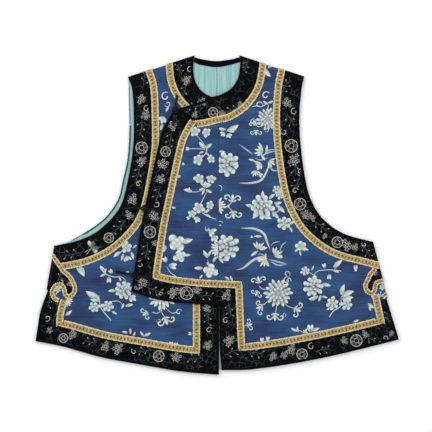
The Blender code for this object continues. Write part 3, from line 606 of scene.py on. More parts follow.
def ribbon(node, line, half, material):
    """A ribbon's shell, domed across its line, with the line mapped on it for its weave."""
    made = shell(node + "_weave", [node], material, cell=RIBBON_CELL)
    mesh = made.data
    places = np.array([
        (corner.co.x / MM + MIDDLE_ACROSS, MIDDLE_DOWN - corner.co.y / MM) for corner in mesh.vertices
    ])
    along, across = follow(places, line)
    across = across / half
    tops = [corner.normal.z > 0.5 for corner in mesh.vertices]
    for corner, share, top in zip(mesh.vertices, across, tops):
        if top:
            corner.co.z += max(0.0, 1.0 - share ** 2) * RIBBON_DOME * MM
    threads = mesh.uv_layers.new(name="thread")
    for loop in mesh.loops:
        threads.data[loop.index].uv = along[loop.vertex_index], across[loop.vertex_index]
    return made


def picots(line, half, height, points, faces):
    """Small loops of thread along both edges of a ribbon, wherever the ribbon is."""
    reach, number = 0.0, 0
    for start, end in zip(line, line[1:]):
        step = end - start
        side = Vector((step.y, -step.x)).normalized()
        while reach < step.length:
            foot = start + step * reach / step.length
            for out in (-1, 1):
                at = foot + side * out * (half - PICOT_INSET)
                under = height(foot + side * out * (half - PICOT_ROOT))
                if under is None or height(foot) is None:
                    continue
                size = PICOT_SIZE * (1 + PICOT_UNEVEN * sin(number * 1.7))
                first = len(points)
                for share, rise in PICOT_RINGS:
                    for corner in range(PICOT_CORNERS):
                        turn = tau * corner / PICOT_CORNERS
                        place = at + Vector((cos(turn), sin(turn))) * size * share
                        points.append(body_place(place, under + rise * MM))
                points.append(body_place(at, under + PICOT_TOP * MM))
                for corner in range(PICOT_CORNERS):
                    low, after = first + corner, first + (corner + 1) % PICOT_CORNERS
                    faces.append((after, low, low + PICOT_CORNERS, after + PICOT_CORNERS))
                    faces.append((after + PICOT_CORNERS, low + PICOT_CORNERS, first + 2 * PICOT_CORNERS))
            number += 1
            reach += PICOT_STEP
        reach -= step.length


def formed(name, points, faces, material):
    """A smooth piece on the body, made from its points and faces."""
    mesh = bpy.data.meshes.new(name)
    mesh.from_pydata(points, [], faces)
    mesh.shade_smooth()
    mesh.materials.append(material)
    made = placed(name, mesh)
    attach(made, "root")
    return made


GOLD_MATERIAL = gold_weave("gold_ribbon_weave", GOLD)
COPPER_MATERIAL = gold_weave("copper_ribbon_weave", GOLD_COPPER)
PICOT_MATERIAL = painted("gold_picot", PICOT_PALE, 0.5, sheen=0.1, specular=0.4)[0]
picot_points, picot_faces = [], []
for node, widths, rows in RIBBON_LINES:
    line = beside(smooth_line(rows, LINE_STEP), widths)
    made = ribbon(node, line, RIBBON_HALF, GOLD_MATERIAL)
    picots(line, RIBBON_HALF, heights_of(made), picot_points, picot_faces)
for node, rows in SCROLL_LINES:
    line = smooth_line(rows, SCROLL_STEP)
    made = ribbon(node, line, SCROLL_HALF, COPPER_MATERIAL if "left" in node else GOLD_MATERIAL)
    picots(line, SCROLL_HALF, heights_of(made), picot_points, picot_faces)
formed("ribbon_picots", picot_points, picot_faces, PICOT_MATERIAL)

# Bindings.
# A plain black satin binding, 5 mm wide and fully rounded, covers the outer edges of both fronts. It is a
# bias strip folded over the edge and sewn down.
BINDING_ROUND = 0.46
for node in (
    "left_edge_binding", "left_armhole_binding", "right_edge_binding", "right_armhole_binding",
    "right_neck_binding",
):
    shell(node + "_satin", [node], SATIN_MATERIAL, cell=5.0, edge=BINDING_ROUND)

# Closures.
# Three knots of plaited black cord, each on a flat doubled stem sewn to the overlap, with a loop of the same
# cord from the right front round it. They stay fastened.
CORD_HALF = 1.2
CORD_SIDES = 10
CORD_SPREAD = 1.35
KNOT_RADIUS = 4.5
KNOT_FLATNESS = 0.8
LOOP_RADIUS = 6.0
LOOP_DROP = (9.0, 17.0)
LOOP_STEPS = 16
STEM_GAP = 9.9
STEM_START = 1.2
STEM_BEND = 1.3
STEM_STEPS = 12
PLAIT_HALF = 1.15
PLAIT_TURNS = 3
PLAIT_STEPS = 96
PLAIT_TILT = 1.05
CORE_INSET = 1.0
CLOSURES = (
    # name, knot, loop end, stem end, as (across, down)
    ("top", (-88.0, 111.0), (-85.0, 80.0), (-93.0, 143.0)),
    ("middle", (-150.5, 312.0), (-170.0, 311.0), (-118.0, 316.0)),
    ("bottom", (-171.5, 448.0), (-210.0, 441.0), (-138.0, 455.0)),
)


def corded(name, lines, half, node):
    """Round satin cord along lines of world places, with the slight ridges of its seam stitches."""
    points, faces = [], []
    for line in lines:
        start = len(points)
        for index, place in enumerate(line):
            ahead = (line[min(index + 1, len(line) - 1)] - line[max(index - 1, 0)]).normalized()
            side = ahead.cross(Vector((0.0, 0.0, 1.0)))
            side = side.normalized() if side.length > 0.05 else Vector((1.0, 0.0, 0.0))
            up = side.cross(ahead)
            for corner in range(CORD_SIDES):
                turn = tau * corner / CORD_SIDES
                size = half * (1 + 0.07 * sin(index * 1.9 + turn * 2))
                points.append(place + (side * cos(turn) + up * sin(turn)) * size * MM)
        for index in range(len(line) - 1):
            for corner in range(CORD_SIDES):
                after = (corner + 1) % CORD_SIDES
                low, high = start + index * CORD_SIDES, start + (index + 1) * CORD_SIDES
                faces.append((low + corner, high + corner, high + after, low + after))
        for end, turned in ((start, 1), (start + (len(line) - 1) * CORD_SIDES, -1)):
            faces.append([end + corner for corner in range(CORD_SIDES)][::turned])
    made = formed(name, points, faces, CORD_MATERIAL)
    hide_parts(node)
    return made


def in_space(place, height):
    """A flat place and a height in millimetres, as a world place."""
    return Vector((place.x - MIDDLE_ACROSS, MIDDLE_DOWN - place.y, height)) * MM


def eased(line, rounds=2):
    """The line with its corners cut round."""
    for _ in range(rounds):
        cut = [line[0]]
        for start, end in zip(line, line[1:]):
            cut += [start.lerp(end, 0.25), start.lerp(end, 0.75)]
        line = cut + [line[-1]]
    return line


CORD_MATERIAL = painted("black_cord", (0.004, 0.004, 0.005), 0.5, specular=0.2)[0]
for name, knot_row, loop_row, stem_row in CLOSURES:
    knot, loop_end, stem_end = Vector(knot_row), Vector(loop_row), Vector(stem_row)
    levels = [corner.co.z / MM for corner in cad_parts[name + "_loop"].data.vertices]
    high, low = max(levels) - CORD_HALF, min(levels) + CORD_HALF
    out = (loop_end - knot).normalized()
    side = Vector((out.y, -out.x))
    reach = (loop_end - knot).length
    first = CORD_SPREAD / LOOP_RADIUS
    leg = [(reach, low), (LOOP_DROP[1], low), (LOOP_DROP[0], high)]
    turns = [first + (tau - 2 * first) * number / LOOP_STEPS for number in range(LOOP_STEPS + 1)]
    line = [in_space(knot + out * far + side * CORD_SPREAD, level) for far, level in leg]
    line += [in_space(knot + (out * cos(turn) + side * sin(turn)) * LOOP_RADIUS, high) for turn in turns]
    line += [in_space(knot + out * far - side * CORD_SPREAD, level) for far, level in leg[::-1]]
    corded(name + "_loop_cord", [eased(line)], CORD_HALF, name + "_loop")
    away = (stem_end - knot).normalized()
    aside = Vector((away.y, -away.x)) * CORD_SPREAD
    near = knot + away * STEM_GAP + away * STEM_START
    shares = [number / STEM_STEPS for number in range(STEM_STEPS + 1)]
    legs = [
        [in_space(near.lerp(stem_end, share) + aside * way, high) for share in shares]
        for way in (1, -1)
    ]
    bend = [
        in_space(near + aside * cos(turn) - away * STEM_BEND * sin(turn), high)
        for turn in (pi / 4, pi / 2, 3 * pi / 4)
    ]
    corded(name + "_stem_cord", [legs[0][::-1] + bend + legs[1]], CORD_HALF, name + "_stem")
    middle = in_space(knot, high - CORD_HALF + KNOT_RADIUS * KNOT_FLATNESS)
    plait = []
    for number in range(PLAIT_STEPS + 1):
        turn = tau * PLAIT_TURNS * number / PLAIT_STEPS
        tilt = PLAIT_TILT * sin(turn * 4 / 3)
        size = (KNOT_RADIUS - PLAIT_HALF) * (1 + 0.1 * sin(turn * 8 / 3))
        plait.append(middle + Vector((
            cos(turn) * cos(tilt), sin(turn) * cos(tilt), sin(tilt) * KNOT_FLATNESS,
        )) * size * MM)
    corded(name + "_knot_plait", [plait], PLAIT_HALF, name + "_knot")
    bpy.ops.mesh.primitive_uv_sphere_add(
        segments=16, ring_count=10, radius=(KNOT_RADIUS - CORE_INSET) * MM, location=middle,
    )
    core = bpy.context.active_object
    core.name = name + "_knot_core"
    core.scale.z = KNOT_FLATNESS
    core.data.shade_smooth()
    core.data.materials.append(CORD_MATERIAL)
    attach(core, "root")

# Embroidery on the fronts.
# Flower sprays are worked in padded satin stitch: peonies, lotuses, orchids, plum blossom and curling stems
# in white, cream and pale aqua silk. Every stitch lies on the silk under it, so each spray stops at a seam.
THREAD_WHITE = (0.86, 0.88, 0.81)
THREAD_CREAM = (0.84, 0.78, 0.62)
THREAD_AQUA = (0.21, 0.36, 0.39)
THREAD_DEEP = (0.075, 0.16, 0.20)
THREAD_GREY = (0.42, 0.50, 0.47)
THREAD_BLUE = (0.13, 0.27, 0.44)
THREAD_GOLD = (0.52, 0.40, 0.20)
PETAL_STEPS = 7
PETAL_SIDES = 6
PETAL_PAD = 0.85
PETAL_PAD_SHARE = 0.13
STRAND_STEP = 2.2
STRAND_PAD = 0.45
STRAND_SHARES = (-1.0, -0.5, 0.0, 0.5, 1.0)
THREAD_LIFT = 0.12
PALM_CURL = ((10, 0.2), (28, 0.62), (34, 0.95), (52, 1.12), (68, 1.0), (66, 0.8), (56, 0.78))
RIGHT_SPRAYS = (
    # kind, across, down, size, turn
    ("hook", -108, 83, 10, 60), ("hook", -104, 98, 7, 200), ("petals", -112, 124, 14, 250),
    ("leaf", -114, 139, 14, 250), ("leaf", -108, 114, 12, 60),
    ("plum", -188, 391, 11, 20), ("leaf", -200, 401, 18, 215), ("leaf", -194, 405, 14, 250),
    ("petals", -188, 409, 12, 285), ("leaf", -179, 401, 16, 290), ("leaf", -175, 393, 10, 40),
    ("leaf", -290, 434, 23, 315), ("leaf", -284, 430, 23, 295),
    ("leaf", -233, 442, 16, 125), ("leaf", -233, 446, 12, 75), ("leaf", -231, 446, 12, 205),
    ("bud", -216, 444, 10, 140), ("bud", -224, 452, 12, 270), ("bud", -186, 446, 6, 90),
    ("peony", -194, 479, 18, 10), ("petals", -181, 491, 14, 320), ("leaf", -210, 481, 16, 180),
    ("leaf", -200, 461, 10, 110), ("leaf", -194, 506, 12, 250), ("leaf", -190, 512, 16, 15),
    ("round", -254, 514, 11, 100), ("round", -227, 512, 12, 80), ("leaf", -245, 493, 29, 158),
    ("leaf", -245, 500, 18, 175), ("leaf", -243, 504, 14, 110), ("leaf", -218, 522, 12, 330),
    ("half", -116, 493, 27, 270), ("palm", -145, 524, 13, 215), ("palm", -110, 534, 18, 290),
    ("hook", -81, 524, 7, 20), ("hook", -122, 541, 5, 160),
    ("leaf", -181, 569, 12, 90), ("leaf", -186, 567, 12, 165), ("leaf", -175, 573, 10, 60),
    ("leaf", -153, 573, 12, 125), ("leaf", -151, 573, 14, 30), ("bud", -97, 594, 10, 90),
    ("bud", -87, 596, 10, 90), ("bud", -54, 569, 8, 170), ("half", -311, 500, 13, 0),
    ("leaf", -313, 530, 16, 35), ("round", -329, 477, 7, 0), ("leaf", -331, 483, 6, 260),
)
OVERLAP_SPRAYS = (
    ("plum", -48, 155, 10, 15), ("plum", -25, 157, 9, 40), ("leaf", -28, 190, 18, 130),
    ("leaf", -26, 190, 16, 40), ("bud", -58, 190, 9, 180), ("leaf", -30, 196, 10, 200),
    ("leaf", -26, 198, 10, 320), ("plum", -42, 213, 10, 0), ("plum", -15, 211, 8, 25),
    ("leaf", -32, 202, 10, 250), ("bud", -75, 223, 6, 30), ("bud", -77, 245, 7, 200),
    ("plum", -40, 251, 10, 30), ("plum", -15, 252, 9, 10), ("leaf", -28, 268, 12, 140),
    ("leaf", -28, 270, 14, 85), ("leaf", -26, 270, 14, 35), ("leaf", -28, 272, 12, 190),
    ("leaf", -26, 274, 14, 335), ("leaf", -28, 274, 12, 240), ("petals", -26, 268, 10, 70),
    ("leaf", -54, 278, 18, 165), ("leaf", -58, 280, 12, 100), ("leaf", -87, 311, 10, 170),
    ("plum", -40, 311, 11, 50), ("plum", -54, 323, 8, 10), ("bud", -58, 329, 8, 210),
    ("petals", -42, 329, 12, 250), ("leaf", -30, 321, 14, 30), ("plum", -17, 305, 8, 0),
    ("leaf", -28, 325, 12, 345), ("bloom", -85, 383, 18, 85), ("leaf", -77, 379, 25, 8),
    ("bloom", -79, 409, 13, 250), ("leaf", -71, 409, 14, 10), ("petals", -106, 391, 14, 190),
    ("bud", -106, 422, 12, 120), ("bud", -101, 428, 16, 350), ("leaf", -91, 450, 12, 330),
    ("petals", -19, 358, 14, 330), ("petals", -11, 368, 14, 300), ("hook", -22, 354, 6, 120),
    ("leaf", -22, 413, 18, 120), ("leaf", -22, 411, 14, 60), ("leaf", -32, 434, 18, 180),
    ("leaf", -24, 422, 14, 320), ("bloom", -17, 440, 15, 30), ("leaf", -11, 422, 14, 60),
    ("half", 1, 395, 18, 180), ("leaf", -32, 448, 10, 230),
)
LEFT_SPRAYS = (
    ("leaf", 17, 153, 27, 25), ("leaf", 19, 153, 14, 350), ("leaf", 15, 151, 16, 170),
    ("petals", 13, 157, 10, 220), ("petals", 19, 159, 10, 300), ("leaf", 1, 196, 12, 0),
    ("peony", 17, 221, 24, 30), ("petals", 30, 221, 12, 340),
    ("hook", 97, 81, 9, 30), ("leaf", 101, 96, 12, 20), ("hook", 83, 100, 8, 330),
    ("leaf", 101, 98, 12, 150), ("lotus", 101, 129, 23, 15), ("palm", 77, 141, 12, 120),
    ("hook", 71, 135, 7, 40), ("palm", 77, 151, 12, 270), ("hook", 99, 151, 5, 200),
    ("fan", 93, 196, 20, 165), ("grain", 97, 198, 16, 80), ("grain", 75, 215, 14, 165),
    ("fan", 89, 219, 16, 215), ("grain", 87, 219, 16, 240), ("fan", 101, 215, 16, 330),
    ("grain", 87, 200, 16, 300), ("fan", 75, 233, 14, 275), ("bud", 81, 241, 10, 330),
    ("half", -3, 307, 18, 0), ("palm", 28, 299, 17, 85), ("palm", 30, 317, 17, 275),
    ("hook", 1, 270, 7, 300), ("hook", 3, 344, 7, 20), ("bud", 17, 307, 6, 0),
    ("peony", 89, 309, 24, 350), ("leaf", 71, 307, 16, 172), ("leaf", 81, 319, 18, 232),
    ("leaf", 93, 293, 18, 100), ("leaf", 104, 293, 16, 45), ("leaf", 91, 329, 18, 350),
    ("leaf", 110, 321, 18, 320), ("leaf", 114, 301, 16, 5), ("leaf", 116, 305, 14, 330),
    ("leaf", 122, 309, 18, 320), ("round", 120, 274, 9, 100), ("round", 126, 284, 9, 280),
    ("leaf", 112, 319, 10, 270), ("leaf", 122, 315, 10, 45), ("round", 134, 342, 14, 60),
    ("leaf", 145, 344, 14, 30), ("leaf", 145, 350, 12, 300),
    ("peony", 17, 391, 25, 70), ("leaf", 7, 416, 14, 350), ("leaf", 1, 413, 14, 310),
    ("leaf", -3, 424, 14, 260),
    ("grain", 89, 370, 16, 175), ("bud", 71, 372, 6, 150), ("fan", 81, 397, 18, 75),
    ("grain", 81, 399, 18, 215), ("grain", 85, 397, 16, 20), ("fan", 114, 409, 18, 50),
    ("grain", 114, 409, 18, 350), ("grain", 97, 403, 14, 265), ("fan", 97, 413, 20, 235),
    ("grain", 97, 416, 16, 292), ("grain", 97, 416, 18, 190),
    ("plum", 169, 389, 11, 30), ("leaf", 165, 393, 12, 220), ("leaf", 173, 393, 12, 340),
    ("leaf", 167, 399, 10, 280),
    ("peony", 194, 471, 20, 40), ("round", 177, 440, 9, 170), ("leaf", 190, 438, 10, 60),
    ("bud", 218, 434, 10, 110), ("bud", 227, 446, 11, 265), ("leaf", 235, 432, 23, 40),
    ("leaf", 235, 440, 12, 350), ("leaf", 212, 467, 18, 350), ("leaf", 204, 491, 18, 200),
    ("leaf", 210, 489, 14, 250), ("leaf", 212, 491, 12, 340), ("leaf", 200, 495, 16, 190),
    ("lotus", 122, 485, 29, 10), ("palm", 83, 465, 15, 100), ("palm", 81, 481, 12, 240),
    ("hook", 140, 446, 7, 320), ("hook", 140, 459, 8, 60), ("palm", 91, 514, 15, 190),
    ("palm", 116, 526, 17, 268), ("palm", 155, 516, 16, 335), ("hook", 134, 530, 5, 260),
    ("round", 233, 506, 13, 110), ("round", 262, 508, 12, 85), ("leaf", 251, 489, 23, 75),
    ("leaf", 253, 493, 27, 28), ("leaf", 253, 498, 23, 12), ("leaf", 229, 514, 10, 215),
    ("bud", 249, 504, 6, 270),
    ("leaf", 161, 563, 14, 155), ("leaf", 163, 565, 12, 100), ("leaf", 173, 565, 12, 40),
    ("bud", 188, 565, 16, 90), ("leaf", 192, 563, 16, 25), ("leaf", 183, 567, 12, 150),
    ("bud", 89, 586, 10, 90), ("bud", 101, 584, 10, 90), ("leaf", 276, 545, 12, 25),
    ("leaf", 278, 428, 14, 290), ("leaf", 284, 428, 14, 250), ("leaf", 306, 506, 16, 320),
    ("leaf", 309, 510, 12, 280), ("leaf", 28, 461, 12, 110), ("leaf", 22, 459, 12, 140),
    ("leaf", 93, 24, 23, 305), ("leaf", 101, 24, 10, 20), ("round", 22, 553, 6, 0),
    ("palm", 58, 551, 12, 15), ("hook", 44, 561, 6, 200), ("round", 335, 473, 6, 0),
    ("leaf", 333, 481, 6, 260), ("round", 317, 491, 5, 0), ("round", 327, 491, 5, 0),
)
RIGHT_STEMS = (
    # width, points from the thick end to the thin end
    (1.6, ((-188, 467), (-192, 457), (-200, 452), (-214, 452), (-231, 446), (-243, 432))),
    (1.4, ((-196, 510), (-204, 502), (-218, 502))),
    (1.7, ((-245, 489), (-241, 514), (-231, 528), (-220, 541))),
    (1.3, ((-114, 516), (-124, 526), (-136, 524))),
    (1.3, ((-110, 514), (-95, 526), (-85, 524))), (1.3, ((-114, 508), (-116, 524), (-110, 534))),
    (1.4, ((-188, 401), (-194, 397), (-202, 403))), (1.2, ((-153, 575), (-149, 569), (-140, 567))),
)
OVERLAP_STEMS = (
    (1.5, ((-44, 163), (-32, 178), (-24, 192), (-28, 202), (-40, 213))),
    (1.3, ((-26, 192), (-42, 190), (-60, 190))),
    (1.4, ((-24, 200), (-17, 208))),
    (1.5, ((-40, 256), (-28, 268), (-15, 254))),
    (1.5, ((-24, 278), (-30, 290), (-38, 305))),
    (1.3, ((-26, 272), (-44, 278), (-63, 278))),
    (1.5, ((-38, 317), (-24, 327), (-5, 334))),
    (1.3, ((-28, 323), (-19, 309))),
    (1.5, ((-83, 393), (-79, 405))),
    (1.4, ((-106, 430), (-99, 442), (-85, 452))),
    (1.3, ((-22, 416), (-19, 434))),
    (1.3, ((-28, 354), (-17, 356))),
)
LEFT_STEMS = (
    (1.5, ((99, 120), (101, 98), (87, 104), (77, 102), (69, 104))), (1.4, ((89, 139), (83, 145), (75, 141))),
    (1.3, ((7, 305), (19, 307), (30, 295))), (1.3, ((7, 309), (19, 309), (30, 319))),
    (1.5, ((108, 319), (120, 319), (128, 311))),
    (1.5, ((202, 457), (196, 448), (204, 440), (218, 438), (237, 438), (251, 440))),
    (1.4, ((202, 452), (188, 444), (183, 440))), (1.4, ((237, 436), (245, 428), (253, 418))),
    (1.4, ((136, 465), (145, 454), (149, 461))),
    (1.4, ((104, 498), (93, 508), (81, 508))),
    (1.4, ((120, 506), (118, 518), (116, 528))),
    (1.4, ((132, 502), (142, 512), (155, 516))), (1.4, ((106, 477), (91, 477), (83, 471))),
    (1.8, ((251, 491), (249, 512), (235, 522), (227, 534))), (1.2, ((177, 569), (169, 563), (159, 561))),
    (1.3, ((40, 553), (50, 553), (58, 551))),
)
LONG_LEAVES = (
    # width, tone, points
    (3.0, THREAD_BLUE, ((40, 180), (52, 188), (71, 202))),
    (3.4, THREAD_AQUA, ((120, 194), (101, 198), (87, 206))),
    (2.6, THREAD_BLUE, ((122, 190), (101, 194), (93, 202))),
    (4.4, THREAD_GREY, ((40, 260), (65, 260), (87, 254), (99, 235), (104, 219))),
    (3.2, THREAD_AQUA, ((104, 219), (110, 233), (122, 235))),
    (2.8, THREAD_BLUE, ((73, 208), (85, 213), (101, 208))),
    (4.8, THREAD_GREY, ((44, 352), (75, 354), (93, 364), (99, 379), (106, 397))),
    (4.6, THREAD_GREY, ((36, 438), (50, 434), (71, 418), (89, 411), (101, 416))),
    (3.2, THREAD_AQUA, ((101, 416), (118, 420), (140, 426))),
    (3.2, THREAD_AQUA, ((140, 426), (122, 428), (106, 420))),
    (2.2, THREAD_BLUE, ((106, 391), (112, 383), (126, 379))),
    (2.4, THREAD_BLUE, ((128, 407), (128, 391), (140, 379))),
    (2.6, THREAD_BLUE, ((79, 407), (87, 405), (97, 411))),
)


def heading(turn):
    """The unit direction of a turn in degrees: 0 to the wearer's left, 90 to the neck."""
    return Vector((cos(radians(turn)), -sin(radians(turn))))


def needlework(height):
    """An empty piece of stitching that lies on a surface."""
    return {"height": height, "points": [], "faces": [], "tones": [], "threads": []}


def stitch(work, rows):
    """Add a patch of stitches: rows of (place, lift, tone, thread), dropped where there is no silk."""
    start = len(work["points"])
    width = len(rows[0])
    laid = []
    for place, lift, tone, thread in sum(rows, []):
        under = work["height"](place)
        laid.append(under is not None)
        height = (under or 0.0) + (lift + THREAD_LIFT) * MM
        work["points"].append(body_place(place, height))
        work["tones"].append((*tone, 1.0))
        work["threads"].append(thread)
    for row in range(len(rows) - 1):
        for column in range(width - 1):
            first = row * width + column
            ring = (first, first + 1, first + width + 1, first + width)
            if all(laid[corner] for corner in ring):
                work["faces"].append([start + corner for corner in ring])


def blend(tone, other, share):
    """A tone between two tones."""
    return tuple(a + (b - a) * share for a, b in zip(tone, other))


def petal(
    work, base, turn, length, width, inner, outer, lift=0.0, bend=0.0, power=0.6, skew=1.0, vein=0.0,
    steps=PETAL_STEPS, sides=PETAL_SIDES,
):
    """A petal or leaf: threads run from its base to its tip over padding, lower along a vein."""
    rows = []
    pad = min(PETAL_PAD, width * PETAL_PAD_SHARE)
    place = base.copy()
    for step in range(steps + 1):
        along = step / steps
        angle = turn + bend * (along - 0.5)
        if step:
            place = place + heading(angle) * length / steps
        side = heading(angle + 90)
        half = max(0.05, width / 2 * sin(pi * min(0.985, max(0.03, along)) ** skew) ** power)
        row = []
        for column in range(sides + 1):
            across = 2 * column / sides - 1
            swell = (1 - across ** 4) * sin(pi * (0.12 + 0.8 * along)) * pad
            swell -= vein * (1 - min(1.0, abs(across) * 3)) * swell
            # Thread colour graded from base to tip; each petal's sides are painted darker, painted shade
            # between petals.
            lit = min(1.0, (0.12 + 0.95 * along) ** 1.4) - 0.55 * across ** 4
            tone = blend(inner, outer, max(0.0, lit))
            if vein:
                tone = blend(tone, THREAD_AQUA, 0.45 if across > 0.05 else 0.0)
            row.append((place + side * across * half, lift + swell, tone, (along * length, across * half)))
        rows.append(row)
    stitch(work, rows)


def strand(work, points, width, tone, lift=0.1, taper=0.3, tip=None):
    """A stem, tendril or long leaf along a smooth line, thinner to its ends by the taper."""
    line = smooth_line(points, STRAND_STEP)
    total = len(line) - 1
    rows = []
    for index, place in enumerate(line):
        ahead = line[min(index + 1, total)] - line[max(index - 1, 0)]
        side = Vector((-ahead.y, ahead.x)).normalized()
        along = index / total
        if taper < 1:
            share = 1 - taper + taper * sin(pi * along) ** 0.6
        else:
            share = sin(pi * along) ** 0.7 + 0.02
        half = width / 2 * share
        shade = blend(tone, tip or tone, along)
        row = []
        for across in STRAND_SHARES:
            height = lift + (1 - across ** 2) * STRAND_PAD
            row.append((place + side * across * half, height, shade, (index * STRAND_STEP, across * half)))
        rows.append(row)
    stitch(work, rows)


def ring(work, at, size, turn, count, start, length, width, inner, outer, lift, power=0.5, spread=360):
    """Petals round a centre, each a little unlike the next; sizes are shares of the flower's."""
    for number in range(count):
        uneven = sin(number * 2.39 + turn) * 0.15
        angle = turn + spread * (number + 0.5 - count / 2) / count + 14 * uneven
        petal(
            work, at + heading(angle) * size * start, angle, size * length * (1 + uneven), size * width,
            inner, outer, lift=lift + number % 3 * 0.07, power=power, skew=1.25,
        )


def winding(at, size, turn):
    """Places along a line that winds in on itself, as a tendril does."""
    return [at + heading(turn + number * 46) * size * (1 - number * 0.1) for number in range(8)]


def flower(work, kind, at, size, turn):
    """One motif of a spray. The size is its radius, or the length of a leaf, bud or petal."""
    if kind == "plum":
        ring(work, at, size, turn, 5, 0.12, 0.9, 0.86, THREAD_AQUA, THREAD_WHITE, 0.0)
        ring(work, at, size, turn + 36, 5, 0.0, 0.34, 0.12, THREAD_GOLD, THREAD_CREAM, 0.75)
    elif kind == "round":
        ring(work, at, size, turn, 6, 0.3, 0.72, 0.68, THREAD_AQUA, THREAD_WHITE, 0.0)
        ring(work, at, size, turn + 20, 4, 0.08, 0.5, 0.55, THREAD_DEEP, THREAD_WHITE, 0.4)
        ring(work, at, size, turn + 60, 3, 0.0, 0.3, 0.34, THREAD_AQUA, THREAD_CREAM, 0.8)
    elif kind == "bloom":
        ring(work, at, size, turn, 4, 0.08, 0.95, 0.95, THREAD_AQUA, THREAD_WHITE, 0.0)
        ring(work, at, size, turn + 45, 4, 0.0, 0.5, 0.55, THREAD_GREY, THREAD_WHITE, 0.5)
        ring(work, at, size, turn, 3, 0.0, 0.22, 0.2, THREAD_GOLD, THREAD_CREAM, 0.95)
    elif kind == "peony":
        ring(work, at, size, turn, 9, 0.5, 0.54, 0.48, THREAD_AQUA, THREAD_WHITE, 0.0)
        ring(work, at, size, turn + 17, 7, 0.3, 0.46, 0.46, THREAD_DEEP, THREAD_WHITE, 0.28)
        aside = at + heading(turn) * size * 0.06
        ring(work, aside, size, turn + 40, 5, 0.13, 0.4, 0.42, THREAD_DEEP, THREAD_WHITE, 0.56)
        aside = at + heading(turn + 70) * size * 0.1
        ring(work, aside, size, turn + 10, 3, -0.04, 0.3, 0.3, THREAD_DEEP, THREAD_WHITE, 0.85)
    elif kind == "lotus":
        ring(work, at, size, turn, 16, 0.48, 0.50, 0.26, THREAD_DEEP, THREAD_WHITE, 0.0, power=0.8)
        ring(work, at, size, turn + 12, 13, 0.28, 0.46, 0.26, THREAD_DEEP, THREAD_WHITE, 0.25, power=0.8)
        ring(work, at, size, turn + 4, 9, 0.06, 0.42, 0.25, THREAD_DEEP, THREAD_WHITE, 0.5, power=0.8)
        ring(work, at, size, turn, 5, -0.05, 0.22, 0.2, THREAD_AQUA, THREAD_GREY, 0.8)
    elif kind == "half":
        ring(work, at, size, turn, 8, 0.42, 0.58, 0.24, THREAD_GREY, THREAD_WHITE, 0.0, power=0.9, spread=190)
        ring(work, at, size, turn, 6, 0.2, 0.5, 0.26, THREAD_GREY, THREAD_WHITE, 0.28, power=0.9, spread=180)
        ring(work, at, size, turn, 4, 0.0, 0.4, 0.26, THREAD_AQUA, THREAD_WHITE, 0.55, power=0.8, spread=150)
    elif kind == "fan":
        ring(work, at, size, turn, 5, 0.1, 0.85, 0.24, THREAD_GREY, THREAD_CREAM, 0.1, power=0.8, spread=120)
    elif kind == "grain":
        petal(work, at, turn, size, size * 0.32, THREAD_GREY, THREAD_CREAM, lift=0.25, power=0.75, bend=12)
    elif kind == "petals":
        ring(work, at, size, turn, 3, 0.0, 0.95, 0.5, THREAD_AQUA, THREAD_WHITE, 0.1, spread=110)
    elif kind == "bud":
        petal(work, at, turn - 16, size, size * 0.5, THREAD_AQUA, THREAD_WHITE, power=0.6)
        petal(work, at, turn + 16, size, size * 0.5, THREAD_GREY, THREAD_WHITE, lift=0.15, power=0.6)
        petal(work, at, turn, size * 0.45, size * 0.4, THREAD_AQUA, THREAD_AQUA, lift=0.4, power=0.7)
    elif kind == "leaf":
        bend = 34 * sin(turn + size)
        petal(
            work, at, turn, size, size * 0.42, THREAD_GREY, THREAD_WHITE,
            bend=bend, power=0.85, skew=0.85, vein=0.8,
        )
    elif kind == "hook":
        strand(work, winding(at, size, turn), size * 0.25, THREAD_GREY, tip=THREAD_WHITE, taper=0.5)
    elif kind == "palm":
        petal(
            work, at, turn, size * 0.95, size * 0.42, THREAD_GREY, THREAD_WHITE,
            lift=0.1, power=0.7, vein=0.5,
        )
        for side in (-1, 1):
            petal(work, at, turn + side * 62, size * 0.55, size * 0.22, THREAD_AQUA, THREAD_WHITE, lift=0.2)
            curl = [at + heading(turn + side * angle) * size * reach for angle, reach in PALM_CURL]
            strand(work, curl, size * 0.15, THREAD_GREY, tip=THREAD_WHITE, taper=0.5)


def thread_silk(name="embroidery_silk", roughness=0.4):
    """Floss silk in the colour of each stitch, with streaks along the threads."""
    made, tree, shader = painted(name, THREAD_WHITE, roughness, sheen=0.15, specular=0.4)
    add = node_maker(tree)
    tone = add("ShaderNodeAttribute", attribute_name="tone").outputs["Color"]
    thread = add("ShaderNodeUVMap", uv_map="thread").outputs["UV"]
    lay = add("ShaderNodeMapping", [("Vector", thread)], Scale=(0.12, 1.5, 1.0)).outputs["Vector"]
    strands = add("ShaderNodeTexNoise", [("Vector", lay)], Scale=1.0, Detail=2.0)
    shade = add(
        "ShaderNodeMapRange", [("Value", strands.outputs["Fac"])],
        From_Min=0.3, From_Max=0.7, To_Min=0.72, To_Max=1.08,
    )
    tinted = add("ShaderNodeVectorMath", [(0, tone), (1, shade.outputs["Result"])], operation="MULTIPLY")
    tree.links.new(tinted.outputs[0], shader.inputs["Base Color"])
    raised(tree, shader, strands.outputs["Fac"], 0.6, 0.4)
    return made


THREAD_MATERIAL = thread_silk()


def sewn(name, work):
    """Make the stitched work one piece of cloth thread on the body."""
    made = formed(name, work["points"], work["faces"], THREAD_MATERIAL)
    mesh = made.data
    tones = mesh.color_attributes.new("tone", "FLOAT_COLOR", "POINT")
    tones.data.foreach_set("color", [value for tone in work["tones"] for value in tone])
    threads = mesh.uv_layers.new(name="thread")
    for loop in mesh.loops:
        threads.data[loop.index].uv = work["threads"][loop.vertex_index]
    form = bmesh.new()
    form.from_mesh(mesh)
    bmesh.ops.delete(form, geom=[vertex for vertex in form.verts if not vertex.link_faces], context="VERTS")
    form.to_mesh(mesh)
    form.free()


